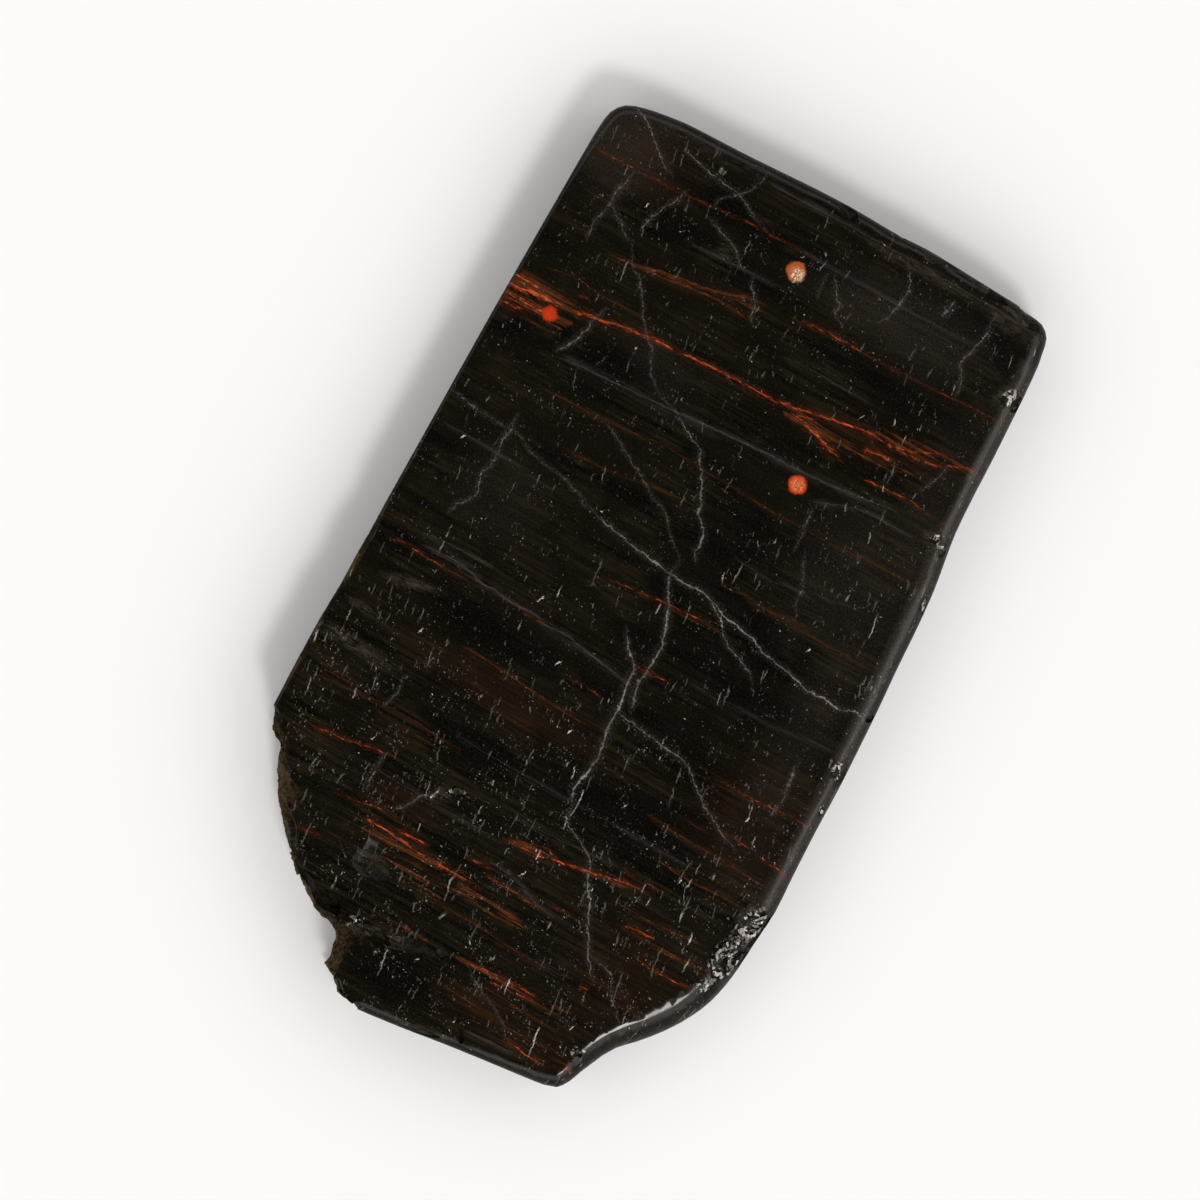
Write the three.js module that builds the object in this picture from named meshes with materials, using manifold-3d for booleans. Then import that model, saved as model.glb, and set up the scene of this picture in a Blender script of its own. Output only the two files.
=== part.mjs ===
// A polished slab of black tourmaline with red hematite, lying on its back face.
// One solid: a flat polished face with softly rounded edges, a lower left side that
// broke off raw in ledges, a crumbled crystalline edge at the lower right, and small pits.
// Millimetres, +Z up, +Y along the slab, +X across it. The origin is on the resting
// face, at the middle of the slab's box.
import * as THREE from "three";
import { mergeVertices } from "three/addons/utils/BufferGeometryUtils.js";
import Module from "manifold-3d";

const wasm = await Module();
wasm.setup();

const THICKNESS = 9;

// The edge's rounding: how far it reaches in and down from the polished face, and the
// radius at the back face.
const SAWN = { reach: 0.45, drop: 0.45, back: 0.7 };
const EASED = { reach: 1.3, drop: 1.5, back: 1.1 };
const SOFT = { reach: 1.9, drop: 2.2, back: 1.1 };
const BULLNOSE = { reach: 3.3, drop: 3.4, back: 1.1 };

// Where the rounding's flat strips meet: angles from the flat face round to the wall at
// the back, and from the wall to the flat face at the front, in degrees.
const BACK_ANGLES = [0, 35, 65, 90];
const FACE_ANGLES = [90, 72, 54, 36, 18, 0];

// Spacing of the strips' ends along tight corners and along straight edges. The
// rounding changes into its neighbour's over a few ends each way.
const FINE_STEP = 1.0;
const LONG_STEP = 3.2;
const BLEND = 3;

// The slab's outline, anticlockwise from the broken side's lower end. Each stretch is a
// smooth curve through its points, with the rounding that its edge has there.
const STRETCHES = [
  {
    edge: EASED,
    step: 1.7,
    points: [[-5.2, -51.7], [0, -51.1], [5, -50.4], [10, -49.8], [15.6, -49.2]],
  },
  {
    edge: SOFT,
    step: FINE_STEP,
    points: [[16.7, -49.05], [18.1, -48.6], [19, -47.4], [19.6, -45.9], [20.3, -44.4]],
  },
  {
    edge: BULLNOSE,
    step: 1.3,
    points: [
      [20.9, -43.1], [21.8, -41.7], [23.5, -40], [25.5, -37.6], [27.3, -34.8], [28.4, -32.3],
      [29, -29.9], [29.3, -27.6],
    ],
  },
  {
    edge: SOFT,
    step: 1.7,
    points: [
      [29.5, -24.4], [29.8, -20], [29.6, -16], [29.4, -10], [29.35, -5], [29.15, 0],
      [28.9, 5], [28.55, 10], [28.3, 15], [27.9, 19.6], [27.4, 22.8], [26.95, 26],
      [26.7, 31], [26.6, 35], [26.4, 39.5], [26.2, 43.6], [25.95, 46.6],
    ],
  },
  {
    edge: SOFT,
    step: FINE_STEP,
    points: [[25.7, 48], [25.3, 49.6], [24.15, 50.65], [22.5, 50.9]],
  },
  {
    edge: EASED,
    step: 1.7,
    points: [
      [20.6, 51.2], [18, 51.3], [14, 51.5], [9, 51.7], [5.6, 51.55], [0, 51.7], [-5, 51.6],
      [-13, 51.2], [-21, 50.95],
    ],
  },
  {
    edge: EASED,
    step: FINE_STEP,
    points: [[-22.6, 50.75], [-25.5, 50.25], [-27.6, 49.5], [-28.7, 48.1], [-29, 46.2]],
  },
  {
    edge: SAWN,
    step: LONG_STEP,
    points: [[-29.1, 43], [-29.2, 35], [-29.4, 22], [-29.45, 4], [-29.5, -8]],
  },
  {
    edge: SAWN,
    step: 1.4,
    points: [[-29.45, -10.5], [-29.6, -15], [-29.6, -21], [-29.5, -25], [-29.45, -26.8]],
  },
];

// The raw side: where the wall stands on the resting face, and where it meets the
// polished face above. Straight facets run from one point to the next.
const BROKEN_WALL = [
  { foot: [-29.4, -28.2], brink: [-27.9, -27.7] },
  { foot: [-28.8, -29.9], brink: [-27.3, -28.6] },
  { foot: [-28, -30.3], brink: [-26.9, -29.6] },
  { foot: [-27.2, -30.7], brink: [-26.5, -30.3] },
  { foot: [-26.8, -32], brink: [-25.9, -31.5] },
  { foot: [-26.1, -33.4], brink: [-25.2, -32.4] },
  { foot: [-25.2, -34.8], brink: [-24, -33] },
  { foot: [-24.6, -35.8], brink: [-23.6, -34.9] },
  { foot: [-23.8, -37.1], brink: [-22.7, -36.2] },
  { foot: [-22.6, -38.4], brink: [-21.8, -37.5] },
  { foot: [-21.5, -39.8], brink: [-20.9, -38.5] },
  { foot: [-20.4, -40.7], brink: [-19.8, -39.6] },
  { foot: [-19.4, -41.9], brink: [-18.9, -40.8] },
  { foot: [-18.4, -42.5], brink: [-18, -41.9] },
  { foot: [-17.3, -43.4], brink: [-16.8, -42.4] },
  { foot: [-16.2, -44.1], brink: [-15.7, -42.9] },
  { foot: [-15.1, -44.7], brink: [-14.6, -43.8] },
  { foot: [-13.9, -45.2], brink: [-13.3, -44.3] },
  { foot: [-12.7, -45.4], brink: [-12, -44.6] },
  { foot: [-11.7, -45.9], brink: [-10.6, -45.5] },
  { foot: [-11.3, -46.4], brink: [-9.9, -46.3] },
  { foot: [-11.4, -47.3], brink: [-9.65, -47.2] },
  { foot: [-11, -48.3], brink: [-9.7, -48.3] },
  { foot: [-11.1, -49.7], brink: [-9.8, -49.4] },
  { foot: [-10.1, -50.2], brink: [-9.1, -49.8] },
  { foot: [-9.2, -50.9], brink: [-8.3, -50.2] },
  { foot: [-8.5, -51.5], brink: [-7.8, -50.9] },
  { foot: [-7.5, -51.7], brink: [-7, -51.1] },
  { foot: [-6.2, -51.8], brink: [-6, -51.3] },
];

// Rows of corners up the raw side: their height, as a share of the thickness, and how far
// they lean from the foot to the brink. It undercuts a little at the very bottom.
const ROW_HEIGHTS = [0, 0.12, 0.24, 0.38, 0.5, 0.62, 0.73, 0.84, 0.93, 1];
const ROW_LEAN = [0.25, 0, 0, 0.06, 0.3, 0.36, 0.62, 0.7, 0.93, 1];
const WALL_ROUGHNESS = 0.5;

// Scoops that small flakes left, on the polished face unless z says otherwise:
// centre, half sizes along X, Y and Z, and the turn about Z in degrees.
const FLAKES = [
  { at: [26.5, 41.5], size: [1.5, 1.3, 2.2], turn: 20 },
  { at: [26.75, 30.1], size: [0.5, 0.45, 1.4], turn: 0 },
  { at: [27.2, 24], size: [1.7, 1.5, 1.1], turn: 35 },
  { at: [28.35, 17], size: [0.9, 1.6, 1.5], turn: 5 },
  { at: [28.9, 3.6], size: [0.9, 0.7, 1.7], turn: 15 },
  { at: [29.2, -3.6], size: [1.4, 1.9, 1.7], turn: 8 },
  { at: [29.7, -12.4], size: [0.8, 1.1, 2.1], turn: 0 },
  { at: [-0.6, 51.3], size: [1.7, 0.9, 1.1], turn: -28 },
  { at: [5.8, 51.7], size: [0.9, 0.5, 1.8], turn: 0 },
  { at: [11.5, 51.5], size: [3.4, 0.9, 0.9], turn: 2 },
  { at: [17.2, 51.2], size: [3, 1.1, 1.1], turn: -4 },
  { at: [21.7, 51.2], size: [1, 0.6, 3], turn: -20 },
  { at: [23, 50.4], size: [2.6, 1.4, 0.8], turn: -10 },
  { at: [-29.6, -5.2], size: [0.8, 2.6, 1.2], turn: 0 },
  { at: [-29.7, -12.6], size: [0.8, 3, 1], turn: 0 },
  { at: [-29.6, -19.6], size: [0.7, 1.4, 0.8], turn: 0 },
];

// Shell-shaped scars and ledges by the raw side, and the trough that runs in from its notch.
const SCARS = [
  { at: [-28.4, -29.2], size: [1.8, 1.2, 1.6], turn: -30 },
  { at: [-25.2, -32.6], size: [1.6, 0.9, 1.5], turn: -55 },
  { at: [-21.6, -37.6], size: [2.2, 0.8, 1.1], turn: -48 },
  { at: [-17, -42.1], size: [1.7, 1, 1.3], turn: -25 },
  { at: [-13.6, -42.9], size: [1.9, 0.9, 1.5], turn: -12 },
  { at: [-11.6, -37], size: [2.7, 1.3, 0.55], turn: -8 },
  { at: [-10.4, -45], size: [2.4, 1.3, 3.1], turn: 22 },
  { at: [-8.2, -44], size: [3.1, 1.3, 1.6], turn: 20 },
  { at: [-4.6, -42.9], size: [3.4, 1, 0.8], turn: 14 },
  { at: [-8.6, -50.6], size: [1.1, 0.8, 1.6], turn: -30 },
  { at: [1.8, -50.6], size: [3.2, 0.8, 0.9], turn: 9 },
];

// Pits in the polished face where a grain fell out.
const PITS = [
  { at: [-8.5, -41.8], size: [0.6, 0.6, 0.5], turn: 0 },
  { at: [-0.1, -41.6], size: [0.9, 0.9, 0.7], turn: 10 },
  { at: [-2, -38], size: [0.35, 0.8, 0.4], turn: -20 },
  { at: [-7.2, -25.4], size: [0.9, 0.8, 0.5], turn: 30 },
  { at: [-8.9, -27.1], size: [0.45, 0.7, 0.4], turn: 0 },
  { at: [4.8, -47.1], size: [0.35, 0.6, 0.4], turn: 20 },
  { at: [6.1, -48.6], size: [0.4, 1, 0.6], turn: 30 },
  { at: [-14.7, 48.2], size: [0.35, 0.5, 0.35], turn: -15 },
  { at: [18.3, -43.9], size: [0.7, 0.5, 0.9], turn: -45 },
];

// The crumbled stretch of the lower right edge: grains broke away between these two
// ends, back to the brink on the polished face and down its slope to the outside.
const CRUMBLED = { bottom: -29.4, top: -20.6, brink: 26.5, outside: 30.2, fall: 2.1 };
const GRAIN = { rows: 9, columns: 3, least: 0.75, most: 1.1, flatness: 0.8, scatter: 0.35 };

// Blocks that came away from the raw side and left flat steps in it. Each lies along the
// wall, a little askew. Sizes and heights run from least to most.
const BLOCK = { along: [2.6, 6.5], across: [1.8, 2.6], tall: [1.6, 4.2], bite: [0.35, 0.85] };
const BLOCK_HEIGHTS = [2.4, 9.2];
const BLOCK_SKEW = 34;

// A repeatable stream of numbers from 0 to 1.
function scatter(seed) {
  let state = seed;
  return () => {
    state = (Math.imul(state, 1664525) + 1013904223) >>> 0;
    return state / 2 ** 32;
  };
}

const radians = THREE.MathUtils.degToRad;

// The polished edge's stations: a point on the outside, and its edge's rounding.
function polishedStations() {
  const path = new THREE.CatmullRomCurve3(
    STRETCHES.flatMap(({ points }) => points.map(([x, y]) => new THREE.Vector3(x, y, 0))),
    false,
    "centripetal",
  );
  const last = path.points.length - 1;
  const stations = [];
  let first = 0;
  STRETCHES.forEach(({ points, step, edge }) => {
    points.forEach((point, i) => {
      const index = first + i;
      if (index === last) {
        stations.push({ at: path.points[last].clone(), edge });
        return;
      }
      const gap = path.points[index].distanceTo(path.points[index + 1]);
      const cuts = Math.max(1, Math.round(gap / step));
      for (let c = 0; c < cuts; c++) {
        stations.push({ at: path.getPoint((index + c / cuts) / last), edge });
      }
    });
    first += points.length;
  });
  return stations;
}

// An edge's value at a station, averaged with its neighbours'.
function blended(stations, i, key) {
  let sum = 0;
  let count = 0;
  for (let j = i - BLEND; j <= i + BLEND; j++) {
    const near = stations[THREE.MathUtils.clamp(j, 0, stations.length - 1)];
    sum += near.edge[key];
    count++;
  }
  return sum / count;
}

// The rings' corners at a polished station, from the resting face up.
function polishedColumn(stations, i) {
  const before = stations[Math.max(i - 1, 0)].at;
  const after = stations[Math.min(i + 1, stations.length - 1)].at;
  const inward = new THREE.Vector3().subVectors(after, before).normalize();
  inward.set(-inward.y, inward.x, 0);
  const { at } = stations[i];
  const reach = blended(stations, i, "reach");
  const drop = blended(stations, i, "drop");
  const back = blended(stations, i, "back");
  const ring = (far, height) => at.clone().addScaledVector(inward, far).setZ(height);
  return [
    ...BACK_ANGLES.map(radians).map((a) => ring(back * (1 - Math.sin(a)), back * (1 - Math.cos(a)))),
    ...FACE_ANGLES.map(radians).map((a) =>
      ring(reach * (1 - Math.sin(a)), THICKNESS - drop * (1 - Math.cos(a))),
    ),
  ];
}

// The rings' corners at a station of the raw side, unevenly set back from the wall.
function rawColumn({ foot, brink }, wobble) {
  const low = new THREE.Vector3(...foot, 0);
  const high = new THREE.Vector3(...brink, 0);
  const across = new THREE.Vector3().subVectors(high, low).normalize();
  return ROW_HEIGHTS.map((share, k) => {
    const corner = low.clone().lerp(high, ROW_LEAN[k]).setZ(THICKNESS * share);
    const onFlatFace = k === 0 || k === ROW_HEIGHTS.length - 1;
    if (!onFlatFace) {
      corner.addScaledVector(across, WALL_ROUGHNESS * wobble());
      corner.z += WALL_ROUGHNESS * (wobble() - 0.5);
    }
    return corner;
  });
}

// Skins a closed run of columns with quads, and closes both faces.
function skin(columns) {
  const rings = columns[0].length;
  const position = columns.flat().flatMap((p) => [p.x, p.y, p.z]);
  const index = [];
  const corner = (i, k) => (i % columns.length) * rings + k;
  columns.forEach((_, i) => {
    for (let k = 0; k + 1 < rings; k++) {
      index.push(corner(i, k), corner(i + 1, k), corner(i + 1, k + 1));
      index.push(corner(i, k), corner(i + 1, k + 1), corner(i, k + 1));
    }
  });
  const flatFace = (k) =>
    THREE.ShapeUtils.triangulateShape(
      columns.map((column) => new THREE.Vector2(column[k].x, column[k].y)),
      [],
    );
  for (const [a, b, c] of flatFace(0)) index.push(corner(a, 0), corner(c, 0), corner(b, 0));
  for (const [a, b, c] of flatFace(rings - 1)) {
    index.push(corner(a, rings - 1), corner(b, rings - 1), corner(c, rings - 1));
  }
  const geometry = new THREE.BufferGeometry();
  geometry.setAttribute("position", new THREE.Float32BufferAttribute(position, 3));
  geometry.setIndex(index);
  return geometry;
}

function solidOf(geometry) {
  const vertProperties = geometry.attributes.position.array;
  const triVerts = new Uint32Array(geometry.index.array);
  return new wasm.Manifold(new wasm.Mesh({ numProp: 3, vertProperties, triVerts }));
}

function geometryOf(solid) {
  const { vertProperties, triVerts } = solid.getMesh();
  const geometry = new THREE.BufferGeometry();
  geometry.setAttribute("position", new THREE.BufferAttribute(vertProperties, 3));
  geometry.setIndex(new THREE.BufferAttribute(triVerts, 1));
  return geometry;
}

// A cutter with flat facets: a plain shape whose corners are moved unevenly, by up to
// the given share, and which is then scaled, turned and put in its place.
function cutter({ at, size, turn }, form, unevenness, random) {
  form.deleteAttribute("normal");
  form.deleteAttribute("uv");
  const shape = mergeVertices(form, 1e-4);
  const corners = shape.attributes.position;
  const corner = new THREE.Vector3();
  for (let i = 0; i < corners.count; i++) {
    const stretch = 1 + unevenness * (random() - 0.5);
    corner.fromBufferAttribute(corners, i).multiplyScalar(stretch);
    corners.setXYZ(i, corner.x, corner.y, corner.z);
  }
  const [x, y, z = THICKNESS] = at;
  shape.scale(...size);
  shape.rotateZ(radians(turn));
  shape.translate(x, y, z);
  return solidOf(shape);
}

const scoop = (place, random) => cutter(place, new THREE.IcosahedronGeometry(1, 1), 0.44, random);
const grain = (place, random) => cutter(place, new THREE.IcosahedronGeometry(1, 0), 0.5, random);
const block = (place, random) => cutter(place, new THREE.BoxGeometry(1, 1, 1), 0.3, random);

// Blocks set into the raw side, one for most of its stations, at uneven heights.
function blocks() {
  const random = scatter(83);
  const between = ([least, most]) => THREE.MathUtils.lerp(least, most, random());
  return BROKEN_WALL.slice(1, -2).map(({ foot, brink }) => {
    const height = between(BLOCK_HEIGHTS);
    const low = new THREE.Vector3(...foot, height);
    const high = new THREE.Vector3(...brink, height);
    const size = [between(BLOCK.along), between(BLOCK.across), between(BLOCK.tall)];
    const outward = new THREE.Vector3().subVectors(low, high).normalize();
    const centre = low.lerp(high, (height / THICKNESS) ** 2);
    centre.addScaledVector(outward, size[1] / 2 - between(BLOCK.bite));
    const along = THREE.MathUtils.radToDeg(Math.atan2(outward.x, -outward.y));
    const turn = along + BLOCK_SKEW * (random() - 0.5);
    return block({ at: centre.toArray(), size, turn }, random);
  });
}

// Grains that fell out of the crumbled edge, laid in rows along it, on the slope from the
// brink down to the outside.
function grains() {
  const random = scatter(41);
  const made = [];
  for (let row = 0; row < GRAIN.rows; row++) {
    for (let column = 0; column < GRAIN.columns; column++) {
      const along = (row + 0.3 + 0.4 * random()) / GRAIN.rows;
      const across = (column + 0.25 + 0.5 * random()) / GRAIN.columns;
      const width = THREE.MathUtils.lerp(GRAIN.least, GRAIN.most, random());
      const x = THREE.MathUtils.lerp(CRUMBLED.brink, CRUMBLED.outside, across);
      const y = THREE.MathUtils.lerp(CRUMBLED.bottom, CRUMBLED.top, along);
      const z = THICKNESS - CRUMBLED.fall * across ** 2 + GRAIN.scatter * (random() - 0.5);
      const size = [width, width * (0.8 + 0.5 * random()), width * GRAIN.flatness];
      made.push(grain({ at: [x, y, z], size, turn: 180 * random() }, random));
    }
  }
  return made;
}

function slab() {
  const stations = polishedStations();
  const wobble = scatter(7);
  const columns = [
    ...stations.map((_, i) => polishedColumn(stations, i)),
    ...BROKEN_WALL.map((station) => rawColumn(station, wobble)),
  ];
  const random = scatter(19);
  const cuts = [
    ...FLAKES.map((flake) => scoop(flake, random)),
    ...SCARS.map((scar) => scoop(scar, random)),
    ...PITS.map((pit) => grain(pit, random)),
    ...grains(),
    ...blocks(),
  ];
  return wasm.Manifold.difference([solidOf(skin(columns)), ...cuts]);
}

// Puts the origin under the middle of the slab's box.
function centred(geometry) {
  geometry.computeBoundingBox();
  const middle = geometry.boundingBox.getCenter(new THREE.Vector3());
  return geometry.translate(-middle.x, -middle.y, 0);
}

const stone = new THREE.MeshStandardMaterial({ color: 0x120e0b, roughness: 0.2, metalness: 0 });
const mesh = new THREE.Mesh(centred(geometryOf(slab())), stone);
mesh.name = "tourmaline_slab";

const specimen = new THREE.Group();
specimen.add(mesh);

export default specimen;
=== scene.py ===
# A polished slab of black tourmaline with red hematite, on a pale floor under soft studio
# light, seen from straight above. Lengths given times MM are in millimetres. The points of
# the markings are in millimetres from the slab's middle, x across it and y along it.
import math

import bmesh
import bpy
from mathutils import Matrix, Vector, noise


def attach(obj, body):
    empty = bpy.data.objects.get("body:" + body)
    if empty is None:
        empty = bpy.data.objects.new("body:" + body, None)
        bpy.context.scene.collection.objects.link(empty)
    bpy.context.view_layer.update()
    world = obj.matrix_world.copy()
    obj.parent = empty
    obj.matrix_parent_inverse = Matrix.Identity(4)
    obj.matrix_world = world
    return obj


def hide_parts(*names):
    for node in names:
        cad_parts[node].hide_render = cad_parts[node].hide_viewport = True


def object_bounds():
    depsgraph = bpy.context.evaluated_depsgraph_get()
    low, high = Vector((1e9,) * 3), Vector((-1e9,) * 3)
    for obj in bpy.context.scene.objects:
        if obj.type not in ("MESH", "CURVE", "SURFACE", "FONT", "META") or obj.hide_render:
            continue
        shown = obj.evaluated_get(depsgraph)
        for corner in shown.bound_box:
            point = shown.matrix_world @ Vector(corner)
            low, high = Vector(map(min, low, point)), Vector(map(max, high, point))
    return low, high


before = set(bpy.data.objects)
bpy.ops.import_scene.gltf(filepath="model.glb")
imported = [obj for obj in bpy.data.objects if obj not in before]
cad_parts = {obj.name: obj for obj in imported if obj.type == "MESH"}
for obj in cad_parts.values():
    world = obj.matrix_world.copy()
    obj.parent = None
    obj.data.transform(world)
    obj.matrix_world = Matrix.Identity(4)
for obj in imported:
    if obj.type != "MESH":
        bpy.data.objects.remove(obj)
cad_low, cad_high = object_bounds()
MM = 0.001
FACE_HEIGHT = cad_high.z


# The camera hangs above the slab and looks straight down. The slab's length leans to the
# right of the picture's up, and it lies a little off the picture's middle.
PICTURE_WIDTH = 132 * MM
PICTURE_MIDDLE = Vector((-3.81, 0.58, 0)) * MM
SLAB_LEAN = math.radians(29)
WIDEST_BELOW_FACE = 2 * MM

photographer = bpy.data.cameras.new("camera")
photographer.lens = 135
eye = bpy.data.objects.new("camera", photographer)
eye_height = PICTURE_WIDTH * photographer.lens / photographer.sensor_width
eye.location = PICTURE_MIDDLE + Vector((0, 0, FACE_HEIGHT - WIDEST_BELOW_FACE + eye_height))
eye.rotation_euler = (0, 0, SLAB_LEAN)
bpy.context.scene.collection.objects.link(eye)
bpy.context.scene.camera = eye
bpy.context.scene.view_settings.view_transform = "Standard"


# The floor is a matt white sheet, painted greyer where the polish mirrors it: a painted
# shade in its reflection only, such as a dark table beyond the sheet would give. The room is
# lit by a broad pale ring of light, stronger off the slab's rounded lower right corner, and
# is dark right overhead, because the polished face mirrors what hangs above it. One small
# lamp draws the bright line on the rounded corner.
FLOOR_SIZE = 6
FLOOR_GAP = 0.02 * MM
FLOOR_WHITE = 0.94
FLOOR_MIRRORED = 0.3
FLOOR_ROUGHNESS = 0.9
FLOOR_SPECULAR = 0.1
LIT_FROM = (0.8, -0.6)
LAMP_HEIGHT_ANGLE = math.radians(55)
LAMP_SPREAD = math.radians(12)
LAMP_STRENGTH = 0.85
LAMP_COLOUR = (1, 0.98, 0.95)
RING_STOPS = [
    (0.0, 0.15), (0.3, 0.4), (0.5, 1.2), (0.78, 1.2), (0.88, 0.4), (0.94, 0.06), (0.97, 0.0),
]
ROOM_TINT = (1, 0.985, 0.97)
DARK_SIDE, LIT_SIDE = -0.7, 0.8
DARK_STRENGTH, LIT_STRENGTH = 0.65, 1.6

floor_shape = bmesh.new()
bmesh.ops.create_grid(floor_shape, x_segments=1, y_segments=1, size=FLOOR_SIZE / 2)
bmesh.ops.translate(floor_shape, verts=floor_shape.verts, vec=(0, 0, cad_low.z - FLOOR_GAP))
floor_mesh = bpy.data.meshes.new("floor")
floor_shape.to_mesh(floor_mesh)
floor_shape.free()
floor = bpy.data.objects.new("floor", floor_mesh)
bpy.context.scene.collection.objects.link(floor)
paper = bpy.data.materials.new("white_paper")
paper.use_nodes = True
paper_finish = paper.node_tree.nodes["Principled BSDF"]
# Only rays mirrored off the polish see the floor grey: painted shade in its reflection.
mirrored = paper.node_tree.nodes.new("ShaderNodeLightPath").outputs["Is Glossy Ray"]
sheet = paper.node_tree.nodes.new("ShaderNodeMapRange")
paper.node_tree.links.new(mirrored, sheet.inputs["Value"])
sheet.inputs["To Min"].default_value = FLOOR_WHITE
sheet.inputs["To Max"].default_value = FLOOR_MIRRORED
paper.node_tree.links.new(sheet.outputs[0], paper_finish.inputs["Base Color"])
paper_finish.inputs["Roughness"].default_value = FLOOR_ROUGHNESS
paper_finish.inputs["Specular IOR Level"].default_value = FLOOR_SPECULAR
floor_mesh.materials.append(paper)

lamp = bpy.data.lights.new("spark_lamp", "SUN")
lamp.energy = LAMP_STRENGTH
lamp.angle = LAMP_SPREAD
lamp.color = LAMP_COLOUR
hung = bpy.data.objects.new("spark_lamp", lamp)
level = Vector((*LIT_FROM, 0)).normalized()
incoming = level * math.cos(LAMP_HEIGHT_ANGLE) + Vector((0, 0, math.sin(LAMP_HEIGHT_ANGLE)))
hung.rotation_mode = "QUATERNION"
hung.rotation_quaternion = incoming.to_track_quat("Z", "Y")
bpy.context.scene.collection.objects.link(hung)

room = bpy.data.worlds.new("studio")
bpy.context.scene.world = room
room.use_nodes = True
walls = room.node_tree
outward = walls.nodes.new("ShaderNodeTexCoord")
parts = walls.nodes.new("ShaderNodeSeparateXYZ")
walls.links.new(outward.outputs["Generated"], parts.inputs[0])
ring = walls.nodes.new("ShaderNodeValToRGB")
walls.links.new(parts.outputs["Z"], ring.inputs["Fac"])
ring.color_ramp.elements[0].position = RING_STOPS[0][0]
ring.color_ramp.elements[1].position = RING_STOPS[-1][0]
for position, _ in RING_STOPS[1:-1]:
    ring.color_ramp.elements.new(position)
for stop, (_, grey) in zip(ring.color_ramp.elements, RING_STOPS):
    stop.color = (*[grey * channel for channel in ROOM_TINT], 1)
sideways = walls.nodes.new("ShaderNodeVectorMath")
sideways.operation = "DOT_PRODUCT"
walls.links.new(outward.outputs["Generated"], sideways.inputs[0])
sideways.inputs[1].default_value = (*LIT_FROM, 0)
strength = walls.nodes.new("ShaderNodeMapRange")
walls.links.new(sideways.outputs["Value"], strength.inputs["Value"])
strength.inputs["From Min"].default_value = DARK_SIDE
strength.inputs["From Max"].default_value = LIT_SIDE
strength.inputs["To Min"].default_value = DARK_STRENGTH
strength.inputs["To Max"].default_value = LIT_STRENGTH
background = walls.nodes["Background"]
walls.links.new(ring.outputs["Color"], background.inputs["Color"])
walls.links.new(strength.outputs[0], background.inputs["Strength"])


# The slab itself: one piece of black tourmaline, sawn, ground flat and polished, with its
# lower left side left as it broke. The sawn form is merged from its loose triangles, and
# its flat faces are ruled into small cells so that they shade as flat ones do.
CELL = 1.6 * MM
MERGE = 0.001 * MM
FLAT_WITHIN = math.radians(0.3)

stone = bmesh.new()
stone.from_mesh(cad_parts["tourmaline_slab"].data)
bmesh.ops.remove_doubles(stone, verts=stone.verts, dist=MERGE)
bmesh.ops.dissolve_limit(
    stone, angle_limit=FLAT_WITHIN, use_dissolve_boundaries=False,
    verts=stone.verts, edges=stone.edges,
)
for axis in (0, 1):
    ruling = Vector((0, 0, 0))
    ruling[axis] = 1
    for step in range(1, int((cad_high[axis] - cad_low[axis]) / CELL) + 1):
        bmesh.ops.bisect_plane(
            stone, geom=stone.verts[:] + stone.edges[:] + stone.faces[:],
            plane_co=ruling * (cad_low[axis] + step * CELL), plane_no=ruling, dist=MERGE,
        )

# Polish reaches every face that meets its neighbour at a gentle angle, starting from the
# flat faces above and below, and the small bevel around the back. The rest is broken
# stone, and so is the whole raw side.
POLISHED, BROKEN = 0, 1
POLISH_BEND = math.radians(23)
LOWER_EDGE = 1.2 * MM
NEARLY_LEVEL = 0.995
RAW_SIDE = (-5.8 * MM, -27.4 * MM)

stone.faces.ensure_lookup_table()
for face in stone.faces:
    face.material_index = BROKEN
    face.smooth = True
reached = [
    max(stone.faces, key=lambda face: face.calc_area() * face.normal.z),
    max(stone.faces, key=lambda face: -face.calc_area() * face.normal.z),
]
for face in reached:
    face.material_index = POLISHED
while reached:
    face = reached.pop()
    for edge in face.edges:
        for beside in edge.link_faces:
            middle = beside.calc_center_median()
            on_raw_side = middle.x < RAW_SIDE[0] and middle.y < RAW_SIDE[1]
            raw = on_raw_side and abs(beside.normal.z) < NEARLY_LEVEL
            if beside.material_index == BROKEN and not raw:
                on_lower_edge = middle.z < cad_low.z + LOWER_EDGE
                if on_lower_edge or edge.calc_face_angle(0) < POLISH_BEND:
                    beside.material_index = POLISHED
                    reached.append(beside)

# The broken stone is cut finer and finer, then set back unevenly: steps along the grain,
# which runs across the slab, and sharp little chips on top of them. The steps are deepest
# low on the raw side. Their depths are in millimetres.
FRACTURE_SIZE = 0.34 * MM
FRACTURE_ROUNDS = 5
GRAIN_STRETCH = Vector((0.45, 1.5, 1.3))
PIT_DEPTH = 1.2 * MM
STEP_DEPTH, RAGGED_DEPTH, CHIP_DEPTH = 0.4, 0.16, 0.09
STEP_SCALE, RAGGED_SCALE, CHIP_SCALE = 0.75, 1.9, 2.6
WARP, WARP_SCALE = 0.6, 0.5
WARP_SHIFTS = [Vector((9.3, -1.5, -8.0)), Vector((0, 0, 0)), Vector((6.3, 0.2, -2.7))]
COARSE_LOW_DOWN, COARSE_NEAR_FACE, COARSE_IN_PITS = 1.0, 0.4, 0.25
AT_POLISH = 0.5


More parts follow.
